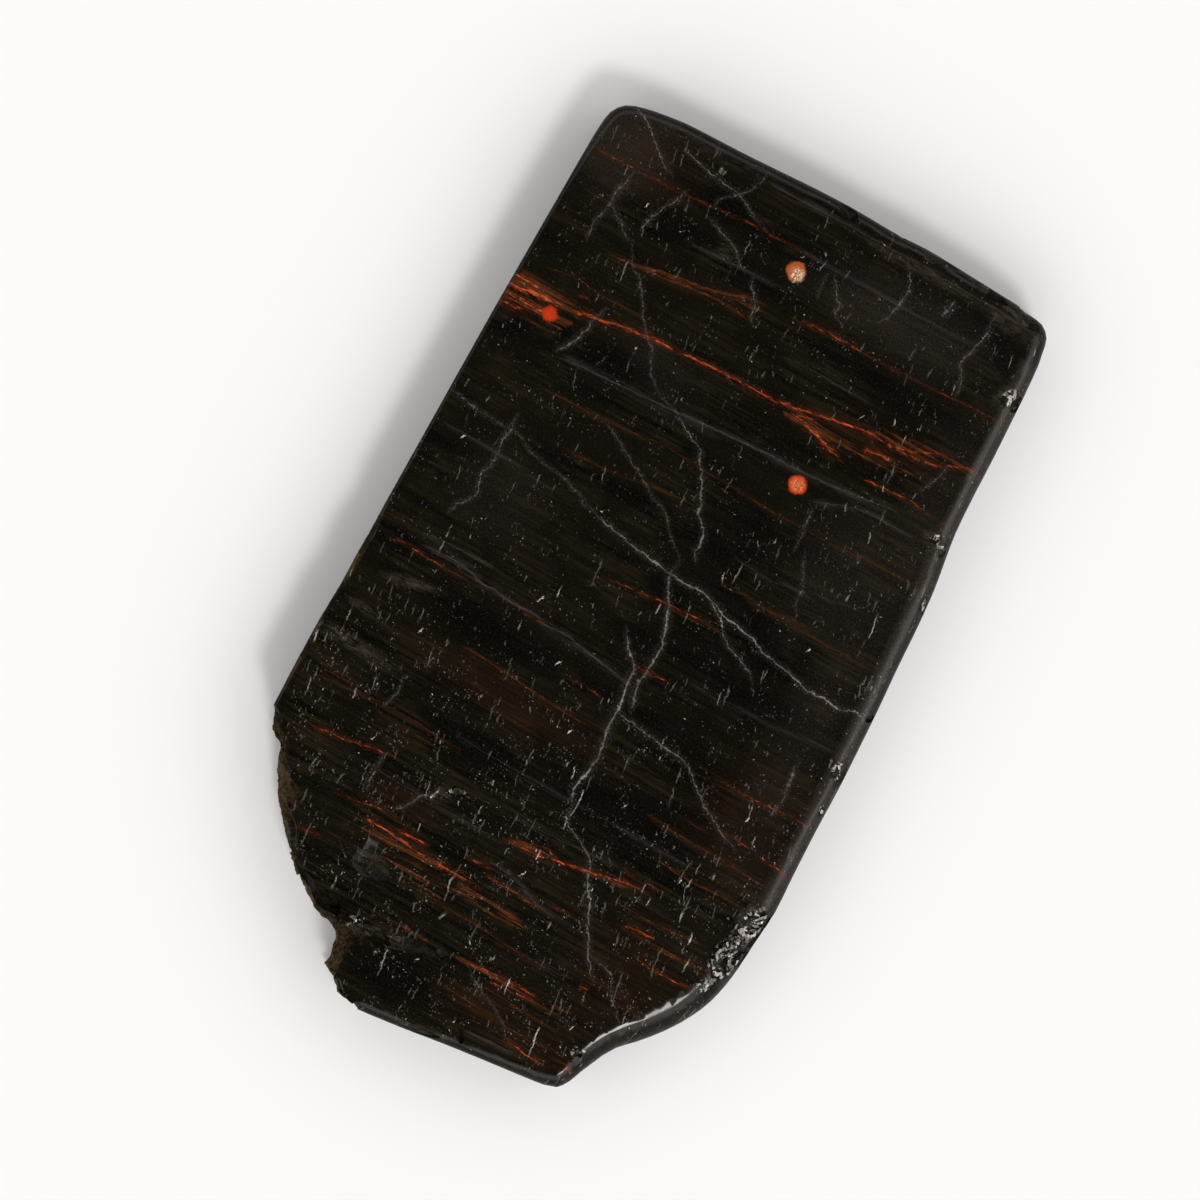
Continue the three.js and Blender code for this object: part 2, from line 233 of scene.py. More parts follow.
def fracture_depth(place, coarse):
    along_grain = Vector(a * b for a, b in zip(place / MM, GRAIN_STRETCH))
    winding = place / MM * WARP_SCALE
    warped = along_grain + WARP * Vector(noise.noise(winding + shift) for shift in WARP_SHIFTS)
    steps = noise.voronoi(warped * STEP_SCALE, distance_metric="DISTANCE")[0]
    grains = noise.voronoi(place / MM * CHIP_SCALE, distance_metric="DISTANCE")[0]
    ragged = noise.noise(along_grain * RAGGED_SCALE)
    uneven = STEP_DEPTH * (steps[1] - steps[0]) + RAGGED_DEPTH * ragged
    return max(0, coarse * uneven + CHIP_DEPTH * (grains[1] - grains[0]))


for _ in range(FRACTURE_ROUNDS):
    long_edges = [
        edge for edge in stone.edges
        if edge.calc_length() > FRACTURE_SIZE
        and any(face.material_index == BROKEN for face in edge.link_faces)
    ]
    bmesh.ops.subdivide_edges(stone, edges=long_edges, cuts=1)
    bmesh.ops.triangulate(stone, faces=[f for f in stone.faces if len(f.verts) > 4])

stone.normal_update()
setbacks = {}
for corner in stone.verts:
    finishes = {face.material_index for face in corner.link_faces}
    if BROKEN in finishes:
        on_raw_side = corner.co.x < RAW_SIDE[0] and corner.co.y < RAW_SIDE[1]
        coarse = COARSE_IN_PITS
        if on_raw_side:
            low_down = corner.co.z < FACE_HEIGHT - PIT_DEPTH
            coarse = COARSE_LOW_DOWN if low_down else COARSE_NEAR_FACE
        back = -corner.normal * fracture_depth(corner.co, coarse) * MM
        if POLISHED in finishes:
            back = Vector((back.x, back.y, 0)) * AT_POLISH
        if corner.co.z < cad_low.z + MERGE:
            back.z = 0
        setbacks[corner] = back
for corner, back in setbacks.items():
    moved = corner.co + back
    corner.co = [min(max(value, low), high) for value, low, high in zip(moved, cad_low, cad_high)]

CRISP = math.radians(30)
for edge in stone.edges:
    edge.smooth = edge.calc_face_angle(0) < CRISP

slab_mesh = bpy.data.meshes.new("tourmaline_slab_finish")
stone.to_mesh(slab_mesh)
stone.free()
slab = bpy.data.objects.new("polished_slab", slab_mesh)
bpy.context.scene.collection.objects.link(slab)

# The stone's own map, as if it were unfolded: the polished face large on the left, the back
# smaller beside it, and the four sides above that as strips.
FACE_SCALE, BACK_SCALE, SIDE_ALONG, SIDE_UP = 9.3, 5.4, 3.9, 8.4
MARGIN, BACK_FROM, SIDES_FROM, SIDE_ROW = 0.01, 0.58, 0.6, 0.095
SLOPING = 0.35

own_map = slab_mesh.uv_layers.new(name="OFBake")
for face in slab_mesh.polygons:
    towards = face.normal
    for loop in face.loop_indices:
        place = slab_mesh.vertices[slab_mesh.loops[loop].vertex_index].co
        near, far = place - cad_low, cad_high - place
        if towards.z > SLOPING:
            own_map.data[loop].uv = (MARGIN + near.x * FACE_SCALE, MARGIN + near.y * FACE_SCALE)
            continue
        if towards.z < -SLOPING:
            own_map.data[loop].uv = (BACK_FROM + far.x * BACK_SCALE, MARGIN + near.y * BACK_SCALE)
            continue
        if abs(towards.x) > abs(towards.y):
            row, along = (0, near.y) if towards.x > 0 else (1, far.y)
        else:
            row, along = (2, far.x) if towards.y > 0 else (3, near.x)
        up = SIDES_FROM + row * SIDE_ROW + near.z * SIDE_UP
        own_map.data[loop].uv = (BACK_FROM + along * SIDE_ALONG, up)

# The rounded edges run into the flat faces without a break, so they shade as level there.
LEVEL = 0.9999
level_at = {}
for face in slab_mesh.polygons:
    if abs(face.normal.z) > LEVEL:
        for corner in face.vertices:
            level_at[corner] = Vector((0, 0, math.copysign(1, face.normal.z)))
facing = []
for face in slab_mesh.polygons:
    for corner in face.vertices:
        level = level_at.get(corner, Vector())
        gentle = face.material_index == POLISHED and face.normal.dot(level) > math.cos(CRISP)
        facing.append(level if gentle else Vector())
slab_mesh.normals_split_custom_set(facing)


# What the stone is coloured with. Every pattern is drawn from the point in the stone, so
# that streaks run on over the edges and dip down to the back.
def lay(tree, kind, values=None, **settings):
    node = tree.nodes.new(kind)
    for name, setting in settings.items():
        setattr(node, name, setting)
    for socket, value in (values or {}).items():
        if isinstance(value, bpy.types.NodeSocket):
            tree.links.new(value, node.inputs[socket])
        else:
            node.inputs[socket].default_value = value
    return node


def maths(tree, operation, *values):
    return lay(tree, "ShaderNodeMath", dict(enumerate(values)), operation=operation).outputs[0]


def between(tree, value, low, high, to_low=0.0, to_high=1.0):
    values = {"Value": value, "From Min": low, "From Max": high, "To Min": to_low, "To Max": to_high}
    settings = {"interpolation_type": "SMOOTHSTEP", "clamp": False}
    return lay(tree, "ShaderNodeMapRange", values, **settings).outputs[0]


def strongest(tree, masks, least=0.0):
    top = least
    for mask in masks:
        top = maths(tree, "MAXIMUM", top, mask)
    return top


def tint(tree, amount, under, over):
    values = {0: amount, 6: under, 7: over}
    return lay(tree, "ShaderNodeMix", values, data_type="RGBA").outputs[2]


def new_group(name, inputs, outputs):
    group = bpy.data.node_groups.new(name, "ShaderNodeTree")
    for label, kind in inputs:
        group.interface.new_socket(label, in_out="INPUT", socket_type="NodeSocket" + kind)
    for label, kind in outputs:
        group.interface.new_socket(label, in_out="OUTPUT", socket_type="NodeSocket" + kind)
    start = group.nodes.new("NodeGroupInput")
    end = group.nodes.new("NodeGroupOutput")
    return group, start.outputs, end.inputs


def colour(red, green, blue):
    channels = [value / 255 for value in (red, green, blue)]
    return (*[c / 12.92 if c <= 0.04045 else ((c + 0.055) / 1.055) ** 2.4 for c in channels], 1)


# One strand of drawn lines. At each place along it the profile holds where the line lies,
# its half width and how far below full strength it is. The mask is 1 in the middle of a
# strong line, 0 at its sides and falls on below 0 beside it.
strand_mask, given, made = new_group(
    "strand_mask",
    [("Profile", "Color"), ("Across", "Float")],
    [("Mask", "Float")],
)
profile = lay(strand_mask, "ShaderNodeSeparateColor", {0: given["Profile"]}).outputs
gap = maths(strand_mask, "ABSOLUTE", maths(strand_mask, "SUBTRACT", given["Across"], profile[0]))
closeness = maths(strand_mask, "SUBTRACT", 1.0, maths(strand_mask, "DIVIDE", gap, profile[1]))
strand_mask.links.new(maths(strand_mask, "ADD", closeness, profile[2]), made["Mask"])

# The lines that don't overlap share a strand. Each one swells from a thin faint start within
# a share of its length, or within some millimetres if that is less, and ends the same way.
STRAND_GAP = 1.1
OUT_OF_REACH = -9
FADE_IN, FADE_OUT = (0.12, 1.2), (0.2, 2.5)
THIN_END, FAINT_END = 0.5, -0.9
BEYOND_END = 0.5


def strands(lines):
    joined = []
    for line in sorted(lines, key=lambda line: line[2][0][0]):
        for strand in joined:
            if strand[-1][2][-1][0] + STRAND_GAP < line[2][0][0]:
                strand.append(line)
                break
        else:
            joined.append([line])
    return joined


def draw_strand(tree, along, across, half_range, strand):
    curves = lay(tree, "ShaderNodeRGBCurve", {"Color": along})
    curves.mapping.use_clip = False
    curves.mapping.extend = "HORIZONTAL"
    paths, widths, strengths = [], [], []
    for half_width, strength, points in strand:
        first, last = points[0][0], points[-1][0]
        swollen, waning = (
            first + min(FADE_IN[0] * (last - first), FADE_IN[1]),
            last - min(FADE_OUT[0] * (last - first), FADE_OUT[1]),
        )
        paths += points
        widths += [(first, THIN_END * half_width), (swollen, half_width)]
        widths += [(waning, half_width), (last, THIN_END * half_width)]
        strengths += [(first - BEYOND_END, OUT_OF_REACH), (first, FAINT_END)]
        strengths += [(swollen, strength - 1), (waning, strength - 1)]
        strengths += [(last, FAINT_END), (last + BEYOND_END, OUT_OF_REACH)]
    for curve, stops in zip(curves.mapping.curves, (paths, widths, strengths)):
        places = [((place + half_range) / (2 * half_range), value) for place, value in stops]
        curve.points[0].location = places[0]
        curve.points[1].location = places[-1]
        for place in places[1:-1]:
            curve.points.new(*place)
        for point in curve.points:
            point.handle_type = "VECTOR"
    curves.mapping.update()
    mark = lay(tree, "ShaderNodeGroup", {}, node_tree=strand_mask)
    tree.links.new(curves.outputs[0], mark.inputs["Profile"])
    tree.links.new(across, mark.inputs["Across"])
    return mark.outputs["Mask"]


def draw_lines(tree, along, across, half_range, lines):
    run = lay(tree, "ShaderNodeMapRange", {
        "Value": along, "From Min": -half_range, "From Max": half_range,
    }, clamp=False).outputs[0]
    grey = lay(tree, "ShaderNodeCombineColor", {0: run, 1: run, 2: run}).outputs[0]
    drawn = (draw_strand(tree, grey, across, half_range, strand) for strand in strands(lines))
    return strongest(tree, drawn, OUT_OF_REACH)


# Red hematite drawn out along the grain: half width, strength, and the points that each
# thread passes through from left to right.
RED_THREADS = [
    (0.6, 1.1, [(-29.6, 26.1), (-27.5, 26.3), (-25, 26.6), (-22, 26.7)]),
    (0.45, 1.0, [(-29.5, 25.2), (-26, 25.1), (-24, 25.2), (-21.6, 25.4)]),
    (0.35, 0.95, [(-29.5, 23.9), (-28.3, 24.1), (-26.2, 24.4)]),
    (0.45, 1.0, [(-29.3, 27.3), (-27.3, 27.35), (-25.4, 27.2)]),
    (0.32, 1.0, [(-22.3, 26.9), (-21, 27), (-18.3, 27.5), (-15, 28.1), (-12.5, 28.5), (-8.6, 28.5)]),
    (0.28, 1.0, [
        (-9.6, 28.5), (-5.3, 28.9), (-3, 28.85), (0, 28.95), (2.5, 29), (5, 29.4), (9.5, 30.3),
        (13, 30.9), (15.5, 30.8), (17.5, 31.1), (19.5, 31.9), (21.5, 32.8), (22.8, 33.1),
    ]),
    (0.23, 0.95, [
        (14.4, 30.7), (19, 30.9), (21.3, 31.3), (23, 32.1), (24, 32.7), (25, 32.8), (26.6, 32.5),
    ]),
    (0.38, 1.05, [(4.4, 28.8), (7, 28.2), (9.2, 27.6), (10, 27.3), (12.3, 26.7)]),
    (0.17, 0.9, [(5.2, 28.8), (7.6, 29.3)]),
    (0.42, 0.95, [(13.3, 29.0), (15, 29.3), (17.4, 29.4)]),
    (0.15, 0.9, [(14.5, 26.1), (16.5, 26.3), (18.5, 26.4), (21, 26.6), (22, 26.3), (23.5, 26.2)]),
    (0.15, 0.85, [(-22.1, 28.7), (-21.3, 28.8), (-20.5, 28.8)]),
    (0.12, 0.62, [
        (-29.2, 43.4), (-27, 43.7), (-22, 43.75), (-18, 43.9), (-14, 44.2), (-10, 44.6), (-2, 44.7),
    ]),
    (0.19, 0.95, [(-0.5, 37.8), (1.5, 38.1), (4, 38.25), (7.5, 38.3), (9.8, 38.2)]),
    (0.12, 0.55, [(9, 38.2), (14, 38.3), (19, 38.6), (25.3, 38.9)]),
    (0.12, 0.8, [(-4.2, 3), (-1, 3.35), (2, 3.7), (5, 3.9), (7.5, 4), (10.2, 3.8)]),
    (0.19, 0.9, [(3, -3.8), (5, -3.75), (7.5, -3.8)]),
    (0.14, 0.8, [(-27.4, -4.7), (-25.5, -4.35), (-23, -4.5), (-20.5, -4.6), (-17.3, -4.6)]),
    (0.12, 0.6, [(-10.4, -4.75), (-7.3, -4.7)]),
    (0.12, 0.55, [(-2.7, -8.6), (0, -8.5), (2.3, -8.8)]),
    (0.12, 0.75, [(16.6, -10.4), (19, -10.4), (22.5, -10.35), (26, -10), (29.4, -10.2)]),
    (0.13, 0.8, [(20.2, -15.1), (22.5, -15.2), (24.3, -15.3)]),
    (0.14, 0.9, [(25.1, -15.6), (27.5, -15.8), (29.8, -16.1)]),
    (0.19, 0.9, [(-24.8, -26.8), (-21.5, -26.4), (-19.5, -26.1), (-17.3, -25.6), (-14.7, -25.3)]),
    (0.13, 0.75, [(-18.8, -32), (-15.5, -31.4), (-13.5, -31), (-11.2, -30.9)]),
    (0.28, 1.0, [(-11.4, -32.35), (-9.5, -32.1), (-6.8, -32.1)]),
    (0.3, 0.95, [
        (-15.3, -32.9), (-13.5, -32.8), (-10, -32.9), (-8.5, -33.2), (-5, -33.3), (0.3, -33.5),
    ]),
    (0.19, 0.9, [(-3, -31.2), (-1.5, -31.05), (0.4, -31)]),
    (0.16, 0.85, [(-0.4, -31.8), (2, -32), (4, -32), (5.5, -32.2), (7.4, -32.2)]),
    (0.25, 0.95, [
        (-0.4, -27.45), (1.5, -27.2), (4, -27.2), (6.5, -26.6), (9, -26.2), (12, -25.5), (14.5, -25.1),
        (17.2, -24.7),
    ]),
    (0.13, 0.85, [(2.6, -26.3), (4.5, -26.1), (6.6, -26.5)]),
    (0.12, 0.5, [(12.8, -24.2), (15, -24.05), (17.8, -24.1)]),
    (0.28, 0.95, [(15.8, -29.4), (17.5, -29.1), (19.5, -29)]),
    (0.12, 0.75, [(19.6, -30), (22, -29.8), (24.5, -29.4), (27, -29.3)]),
    (0.19, 0.85, [(18.4, -31.7), (20.5, -32), (23, -32.1), (26.2, -31.7)]),
    (0.15, 0.7, [(7.8, -31.2), (10.4, -31.2)]),
    (0.23, 0.85, [(14.7, -37.5), (15.3, -37.4), (16, -37.45)]),
    (0.2, 0.9, [(1.7, -41.4), (5, -41), (7, -40.8), (9, -40.8), (12.3, -41)]),
    (0.15, 0.85, [(5.5, -42), (9, -41.6), (12.6, -41.3)]),
    (0.13, 0.7, [(13, -40.9), (15.7, -40.5)]),
    (0.2, 0.9, [(10.2, -46.5), (13, -46.9), (16, -47.1)]),
    (0.38, 0.9, [(17.4, -46.3), (18.3, -46.1), (19.1, -46)]),
    (0.17, 0.7, [(-5.8, -40.9), (-4, -41.2), (-1.8, -41.2)]),
    (0.19, 0.6, [(-21.4, -37.3), (-19.5, -37), (-17.8, -37.1)]),
    (0.15, 0.55, [(-27.2, -36), (-24, -35.3), (-21.5, -35.2)]),
]

# Rusty brown threads and seams, duller than the red ones.
BROWN_THREADS = [
    (0.23, 0.8, [(-21.8, 34.1), (-18, 34.5), (-14, 34.9), (-10, 35.5), (-7.3, 35.6), (-2.8, 35.2)]),
    (0.28, 0.9, [(-18.3, 34.6), (-15, 35.3), (-10.7, 35.9), (-8, 36.6), (-5.7, 37.3), (-3.3, 37.8)]),
    (0.14, 0.5, [(-27, 29.4), (-24.8, 30), (-22.5, 30.2), (-20.5, 29.8), (-14.8, 29.9)]),
    (0.14, 0.5, [
        (-20.3, 17.8), (-15, 18), (-10.5, 18.2), (-8, 18.6), (-5.5, 18.85), (-2, 18.6), (6, 18.2),
        (15, 18.2), (18.5, 18.4), (23.5, 18.7), (26.2, 18.6),
    ]),
    (0.14, 0.45, [(-15, 13.2), (-12.5, 13.2), (-8.8, 13.6), (-6, 13.9), (-3, 14.4), (0.3, 14.7)]),
    (0.16, 0.5, [(6.7, 8.4), (9, 8.6), (11.3, 9)]),
    (0.16, 0.45, [(10.7, 8.3), (15, 8.6), (18, 8.6), (20, 8.1), (23, 8.4), (26.3, 8.2)]),
    (0.23, 0.55, [(-14.5, -11), (-9, -11.4), (-3, -11.9), (3, -12.3)]),
    (0.23, 0.5, [(-27.5, -20.4), (-22, -20.9), (-16, -20.8), (-9, -21.4)]),
    (0.18, 0.6, [(15, -21.3), (20, -21.6), (26, -21.3)]),
    (0.18, 0.6, [(13.5, -27.5), (18, -27.6), (24, -27.1)]),
    (0.18, 0.6, [(12, -17.4), (17, -17.8), (23, -17.9), (28.5, -18.3)]),
    (0.16, 0.5, [(-6, -36.8), (0, -37.1), (7, -37.5), (12, -37.7)]),
    (0.16, 0.5, [(1, -44.6), (7, -45.1), (13, -45.4), (17, -45.2)]),
    (0.16, 0.55, [(5, -42.6), (10, -42.9), (15, -43.1)]),
]

# Broad smears of rust where many fine red threads lie side by side.
RUST_SMEARS = [
    (2.2, 1.3, [(-29.8, 25.7), (-26, 25.8), (-23, 25.9), (-20, 26.3)]),
    (0.7, 0.7, [(-21, 27), (-15, 28), (-9, 28.5)]),
    (1.4, 0.8, [(3, 28.8), (7, 28.6), (12, 28.4), (17, 29), (21, 29.6)]),
    (1.3, 0.85, [(13, 31.2), (17, 31.8), (21, 32.3), (26.5, 32.6)]),
    (1.2, 0.45, [(-20, 34.6), (-13, 35.3), (-6, 36.6), (-2, 37)]),
    (1.1, 0.6, [(0, -27.2), (5, -26.6), (10, -26), (16, -25.2)]),
    (1.5, 0.8, [(-15.5, -33.4), (-9, -33.9), (-3, -34.4), (3, -34.8), (7.5, -35)]),
    (1.2, 0.7, [(-13, -35.2), (-7, -35.8), (-1, -36.2)]),
    (1.0, 0.7, [(0.5, -41.3), (6, -41.3), (11, -41.3), (16.5, -41)]),
    (0.8, 0.5, [(14, -29.4), (18, -29.4), (22, -29.6), (27, -29.5)]),
    (0.8, 0.5, [(5, -46.4), (10, -46.8), (17.5, -47)]),
    (1.3, 0.5, [(15.5, -46), (17.5, -46), (19.6, -46)]),
    (0.9, 0.4, [(-25, -3.6), (-18, -3.9), (-8, -4.6)]),
    (1.0, 0.35, [(10, -15.5), (18, -16), (29, -16.4)]),
    (1.2, 0.3, [(14, -21), (21, -21.4), (29, -21.3)]),
    (1.1, 0.35, [(-2, 3.2), (4, 3.5), (10, 3.6)]),
    (1.2, 0.3, [(-27, -21.5), (-18, -22), (-8, -22.5)]),
]

# Grey and lilac seams along the grain.
GREY_SEAMS = [
    (0.17, 0.85, [
        (-20.5, 21.8), (-15, 22.1), (-10, 22.4), (-6, 22.7), (-3, 23), (0, 23.15), (5, 23.5), (8, 23.5),
        (11, 23.7), (14, 24), (17, 24.4), (20.5, 24.8),
    ]),
    (0.14, 0.7, [(11.2, 21.2), (14, 22.3), (16, 22.9), (18.5, 23.2), (22.8, 23.2)]),
    (0.12, 0.7, [(-24.3, -2.2), (-20, -2), (-15.7, -1.9)]),
    (0.15, 0.9, [
        (-23.8, -3.4), (-19, -3.35), (-17.5, -3.6), (-15.5, -4.2), (-14.5, -4), (-12.5, -4.3),
        (-9, -4.2), (-8, -4.7), (-5, -4.6), (0, -5.4), (3.3, -5.9),
    ]),
    (0.1, 0.5, [(1.2, 33.7), (5, 33.9), (8, 33.8), (12.3, 33.8)]),
    (0.14, 0.6, [(-9.5, 49.5), (0, 49.7), (10, 49.7), (18, 49.5), (25.2, 49.2)]),
    (0.1, 0.45, [(-10.4, -20.1), (0, -20.3), (10, -20.2), (20.4, -20.2)]),
    (0.12, 0.55, [(-0.3, -24.7), (5, -24.6), (10, -24.2), (13.3, -24.1)]),
    (0.12, 0.55, [(-17.4, -27.5), (-10, -27.7), (0.4, -27.8)]),
    (0.12, 0.6, [(-0.3, -30.4), (3.5, -30.7), (5, -31.5), (7, -32.1), (8.8, -32.3)]),
    (0.1, 0.4, [(6.7, 11.8), (12, 11.5), (16, 12.3), (20.3, 13.2)]),
    (0.1, 0.45, [(9.6, -2.5), (20, -2.4), (24, -1.8), (27.8, -1.3)]),
    (0.1, 0.5, [(-2.5, 44.7), (2, 44.6), (9.5, 44.6), (13, 44.8), (18.5, 44.9)]),
    (0.13, 0.75, [(6.2, -47.9), (9, -47.6), (13.3, -47.4)]),
    (0.12, 0.5, [(9, -37.1), (12, -37.5), (14, -37.2)]),
    (0.1, 0.45, [(-14, 39.5), (-8, 39.9), (-2, 40.1)]),
    (0.1, 0.4, [(-28, 9.4), (-22, 9.2), (-14, 8.6)]),
]

# Healed cracks that cross the slab, from left to right.
CRACKS_ACROSS = [
    (0.11, 0.4, [
        (-29.5, 12.9), (-25, 12.3), (-21.5, 12.2), (-20, 12), (-18.3, 11.1), (-15.5, 10.6), (-13, 10.1),
        (-11, 9.5), (-10.5, 9), (-8, 8.5),
    ]),
    (0.14, 0.9, [
        (-8.6, 8.5), (-6, 8), (-4, 7.6), (-2, 7.3), (0, 7.1), (3.5, 6.6), (6, 6.8), (8, 6.1),
        (10, 5.4), (12, 5.2), (13.3, 4.9), (14.3, 4.3), (16, 4), (18.3, 3.6), (20.5, 2.9), (23, 3),
        (25, 2.8), (26.5, 3.4), (28.9, 3.4),
    ]),
    (0.13, 0.6, [
        (3.2, -8.9), (5, -9.5), (8.5, -9.8), (10, -10.1), (13, -10.4), (14.5, -11.3), (16, -12.8),
        (17.5, -13.8), (20, -15.2), (22.8, -16.3),
    ]),
    (0.14, 0.75, [
        (6.3, 6.8), (7.7, 5.8), (9.3, 4.9), (9.8, 3.8), (11, 3), (13, 2.2), (14.6, 1.5), (15.8, 0),
    ]),
    (0.13, 0.6, [(-19.8, 48.3), (-16, 47.4), (-13, 46.9), (-11.5, 46.7), (-10, 45.8), (-7.2, 44.7)]),
    (0.14, 0.7, [(-26.7, 50), (-25, 49.2), (-23, 47.6), (-21.5, 46.4), (-20.5, 45.6), (-19.2, 45)]),
    (0.12, 0.5, [(-24.2, 39.4), (-22, 38), (-20.8, 37), (-19.6, 36.4)]),
    (0.12, 0.6, [(-13.7, 42.9), (-11.5, 42.3), (-9, 41.2), (-8, 40), (-7.1, 39.7)]),
    (0.1, 0.45, [(2.8, -41), (3.5, -42), (5.5, -43), (7.5, -44), (9.5, -45.2), (10.7, -46.6)]),
    (0.11, 0.55, [
        (13.8, -34.1), (16, -34.3), (17.5, -34.8), (18, -36), (18.7, -37.2), (20, -38.3), (21.6, -39.9),
    ]),
    (0.12, 0.5, [
        (-12.4, 17.9), (-10, 16.6), (-8, 15.5), (-6.5, 14.8), (-5.3, 14), (-4, 13), (-2.8, 12.9),
        (-1.5, 11.8), (-0.5, 10.6), (0.5, 9.8), (2, 8.5),
    ]),
]

# Healed cracks that run along the slab, from the broken end up.
CRACKS_ALONG = [
    (0.16, 0.85, [
        (9.0, 3.6), (10.2, 2.8), (11.5, 3), (12.7, 2.6), (13.3, 2), (14.2, 0.9), (15, 1), (15.8, 0.5),
        (16.8, 0), (18.2, -0.6), (19, -1.6), (20.3, -2), (20.6, -3), (21.3, -4), (21.8, -5),
        (22.7, -6.5), (23.3, -9), (24, -9.8),
    ]),
    (0.12, 0.55, [
        (23.4, -9.2), (25, -10.8), (26, -11.5), (27.5, -12), (28.2, -13), (29, -13.8), (30.2, -14.8),
        (31.3, -15.3), (32.4, -16.2), (33.5, -17), (34.5, -18.6), (35.5, -19), (36.8, -19.8),
    ]),
    (0.13, 0.65, [(38, -19.5), (40, -19.2), (41.2, -18.6), (43, -17.6), (44.6, -16.9)]),
    (0.17, 0.9, [
        (-8.7, 5.2), (-7, 4.7), (-5.5, 4.3), (-3.8, 4.6), (-2, 4.7), (-0.7, 4.7), (0.8, 4.2), (2, 4),
        (2.8, 3.5), (3.6, 3.2), (4.7, 2.6), (5.8, 2), (6.9, 1.5), (7.5, 1.7), (8.9, 1.9),
    ]),
    (0.18, 1.0, [
        (-20.5, 4.6), (-19, 3.7), (-17, 4.2), (-15, 4.4), (-13, 4.2), (-11, 3.8), (-9, 3.9),
        (-7.5, 3.6), (-6, 3.2), (-4.3, 3.5), (-3.5, 2.5), (-2.3, 1.2), (-0.4, 0.2),
    ]),
    (0.17, 0.75, [
        (-36.4, 15.9), (-35, 14.8), (-33.8, 13.8), (-32.7, 13.4), (-31.5, 12.5), (-30, 11.8),
        (-28.5, 11.2), (-27, 9.9), (-25.2, 9.4), (-24.3, 8.5), (-23.3, 6.5), (-22.5, 4.7), (-20.2, 4.6),
    ]),
    (0.1, 0.5, [(15.4, 12.4), (17, 12.1), (19, 12), (21, 11.8)]),
    (0.1, 0.5, [(9.4, 16.1), (10.5, 15.2), (12.5, 15.1), (13.3, 14.7), (14.5, 14), (16.4, 13.2)]),
    (0.1, 0.4, [(-13.4, 16.6), (-12, 16.4), (-11, 17.2)]),
    (0.14, 0.6, [
        (0.8, -23), (2.2, -22.6), (3.3, -21.5), (4.2, -21.1), (5.4, -21.5), (6.3, -21.9), (7.5, -21.4),
        (9, -21.2), (10.5, -21.6), (12.5, -21.3), (14.3, -21.4),
    ]),
    (0.15, 0.65, [(21.8, -21.3), (22.5, -20.9), (24, -20), (25.5, -19.4), (27, -19.2), (29, -18.5)]),
    (0.14, 0.6, [
        (34.1, -24.2), (36.8, -24.3), (38.8, -23.8), (40.8, -23.8), (42, -23.3), (43.8, -23.3),
    ]),
    (0.1, 0.45, [(44.3, -13.7), (45.5, -13.5), (46.3, -12.5), (47.8, -11), (49, -10.5), (50.8, -10.3)]),
    (0.13, 0.6, [(35.3, -4.2), (37.2, -4.5), (38.5, -5.8), (40, -6.2)]),
    (0.1, 0.45, [(40.8, 1.2), (42, 0.9), (44, 0.7)]),
    (0.13, 0.6, [(39.5, 5.5), (40.4, 3.4), (41.3, 3.7), (42.2, 3), (44.4, 1.3)]),
    (0.12, 0.6, [(41.6, 7.9), (43, 9), (45, 9.3), (47, 9.4), (48.6, 8.6), (49.7, 7.4)]),
    (0.25, 0.6, [(45.8, 13.9), (47, 14.3), (48.2, 14.3)]),
    (0.13, 0.6, [(38.8, 19.7), (41, 19.2), (42.3, 18.2), (43, 18.3), (45, 19), (47, 19.3), (49.2, 19)]),
    (0.11, 0.5, [(27.8, 21.2), (29.2, 21.8), (30.5, 22.3), (32.2, 22.6)]),
    (0.12, 0.6, [(26.6, 17.5), (28, 17.6), (29.5, 17.2)]),
    (0.15, 0.6, [(-30.5, -12.3), (-29.2, -11.3), (-27.6, -10.5), (-27, -9.3), (-25.3, -8.9)]),
    (0.12, 0.5, [(-30.2, -16.1), (-27.5, -16.2), (-25.3, -16.3)]),
    (0.12, 0.55, [(-21.2, -18.8), (-19, -18.2), (-16.8, -18.5)]),
    (0.12, 0.5, [(-15.2, -17), (-13.3, -16.5)]),
    (0.12, 0.55, [(-11.3, 24.1), (-9, 24.4), (-6.5, 24), (-3.8, 23.9)]),
]

# Where the body of the stone is blacker, redder or greyer than the rest: middle, half
# length, half width, turn in degrees and strength.
BLACK_ZONES = [
    ((-13.5, -8.5), 9.5, 3.4, -4, 1.0),
    ((10, -18.5), 15, 3.8, 0, 1.0),
    ((-8, -20.5), 10, 3.0, 0, 0.8),
    ((-3.5, -46.5), 9, 4.0, 4, 1.0),
    ((12, -1), 12, 3.5, 0, 0.6),
]
RED_ZONES = [
    ((-7, -13.8), 15, 2.6, -3, 0.9),
    ((23, -13), 8, 8, 0, 0.7),
    ((-12.5, -29.3), 5, 2.2, 0, 0.9),
    ((20, -35), 8, 8, 0, 0.6),
    ((10, -45), 11, 3.4, 0, 0.7),
    ((-24, 46), 9, 7, 0, 0.5),
    ((14, 30), 9, 3, 6, 0.7),
]
# The long strip just inside the right edge is painted sheen, a lighter band along the lit right side;
# the others are greyer stone.
GREY_AND_SHEEN_ZONES = [
    ((11, 43.5), 13, 5, 0, 0.4),
    ((19, 15), 8, 10, 0, 0.3),
    ((23.5, 12), 4.5, 42, 0, 0.25),
    ((-19, 5), 7, 6, 0, 0.22),
    ((-10, 26), 7, 3, -20, 0.22),
    ((-26, 46), 7, 8, 0, 0.4),
]

# A painted grey sheen just inside the right edge, where the rounded edge and its fine breaks
# catch the light, as a line from the broken end up.
EDGE_SHEEN = [
    (1.5, 0.85, [
        (-24, 27.6), (-20, 28.6), (-10, 28.6), (0, 28.1), (10, 27.4), (20, 26.6), (23.5, 26), (30, 26),
        (40, 25.6), (48, 24.8),
    ]),
]
